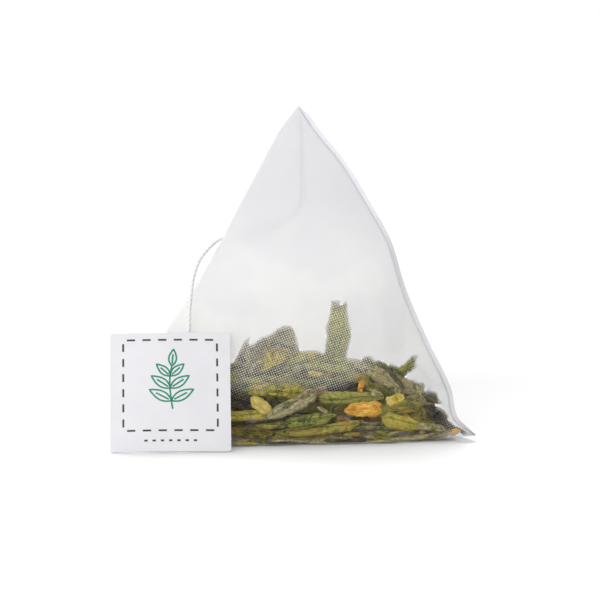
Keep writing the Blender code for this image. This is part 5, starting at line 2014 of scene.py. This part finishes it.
    def backing(self, bm: BMesh, front: ndarray, leaves: Pieces) -> ndarray:
        """Where tea stands behind the gauze, against which its open weave shows.

        Args:
            bm: The skin.
            front: For each of its points, 1 on the front wall and 0 elsewhere.
            leaves: The leaves inside.

        Returns:
            For each point, from 1 with tea behind it to 0 with none, softened at the borders.
        """
        tree = tree_of(leaves)
        bm.normal_update()
        share = np.zeros(len(bm.verts))
        eye = Viewpoint().eye()
        for i, vert in enumerate(bm.verts):
            inward = -vert.normal
            wavy = self.heap_top + self.heap_wave * noise.noise(vert.co / self.ripple_size)
            ray, reach = inward, self.seen_deep if vert.co.z < wavy else self.seen_near
            if front[i] > 0.5:
                ray, reach = (vert.co - eye).normalized(), self.front_width
            share[i] = float(tree.ray_cast(vert.co + self.ray_start * inward, ray, reach)[0] is not None)
        pairs = np.array([[v.index for v in e.verts] for e in bm.edges])
        for _round in range(self.soften):
            total, count = share.copy(), np.ones(len(share))
            for a, b in (pairs.T, pairs[:, ::-1].T):
                np.add.at(total, a, share[b])
                np.add.at(count, a, 1.0)
            share = total / count
        return smooth_step(*self.backed, share)

    def nearness(self, places: ndarray, leaves: Pieces, touching: float,
                 clear: float) -> ndarray:
        """How closely the leaves press on the gauze.

        Args:
            places: Points of the gauze.
            leaves: The leaves inside.
            touching: The distance up to which a leaf counts as touching.
            clear: The distance from which it counts as away.

        Returns:
            For each point, 1 where a leaf touches and 0 where none is near.
        """
        closest = np.full(len(places), 1.0)
        for leaf in leaves:
            points = points_of(leaf.data)
            low, high = points.min(axis=0) - clear, points.max(axis=0) + clear
            near = np.nonzero(((places > low) & (places < high)).all(axis=1))[0]
            if not len(near):
                continue
            tree = tree_of([leaf])
            for i in near:
                hit = tree.find_nearest(Vector(places[i]), clear)
                if hit[3] is not None:
                    closest[i] = min(closest[i], hit[3])
        return 1.0 - smooth_step(touching, clear, closest)

    def seals(self) -> list[Object]:
        """Make the two pressed seals.

        Returns:
            Flat strips that stand out of the pouch's upper right and lower left edges.
        """
        left, right, back, top = Corner
        upper = unit(self.outward(left, right, top) + self.outward(right, back, top))
        lower = unit(self.outward(left, back, top) * [1.0, 1.0, 0.0])
        made = []
        for name, first, second, out in (("upper_seal", top, right, upper), ("lower_seal", left, back, lower)):
            bm = bmesh.new()
            bmesh.ops.create_grid(bm, x_segments=self.seal_faces[0], y_segments=self.seal_faces[1], size=1.0)
            weave = bm.loops.layers.uv.new("weave")
            haze = bm.verts.layers.float.new("haze")
            for vert in bm.verts:
                t = 0.5 + 0.5 * vert.co.x
                shares = np.zeros((1, len(Corner)))
                shares[0, first], shares[0, second] = 1.0 - t, t
                narrow = min(1.0, t / self.seal_taper, (1.0 - t) / self.seal_taper)
                reach = (0.5 + 0.5 * vert.co.y) * (self.seal_width + self.seal_root) * narrow - self.seal_root
                for loop in vert.link_loops:
                    loop[weave].uv = (self.seal_length_mm * t, reach / MM)
                vert.co = self.points(shares)[0] + out * reach
                vert.co.z = max(vert.co.z, self.seal_thickness)
                vert[haze] = 1.0
            bmesh.ops.recalc_face_normals(bm, faces=bm.faces)
            bmesh.ops.solidify(bm, geom=bm.faces[:], thickness=self.seal_thickness)
            made.append(make_object(name, bm, [self.pressed_seal.material()], smooth=False))
        return made

    def declare(self, pouch: Object) -> None:
        """Take the finished pouch, and do nothing with it."""


def main() -> None:
    """Build the tea bag and its studio."""
    logging.basicConfig(level=logging.INFO, format="%(message)s")
    Viewpoint().place()
    cord = CottonString()
    string = cord.build()
    hand_in(string, "cotton", "string")
    card = CardTag()
    tag = card.build()
    hand_in(tag, "card", "tag")
    cord.declare(string, tag)
    for printed in TagPrint(card).build():
        hand_in(printed, "card")
    Studio().build()
    gauze = GauzePouch()
    materials = {slot: finish.material() for slot, finish in LEAF_FINISHES.items()}
    leaves = LeafHeap().build(materials)
    leaves += Crumbs().build(gauze, leaves, materials)
    pouch = gauze.build(leaves)
    hand_in(pouch, "woven_mesh", "mesh_bag")
    gauze.declare(pouch)
    for seal in gauze.seals():
        hand_in(seal, "woven_mesh")


if __name__ == "__main__":
    main()
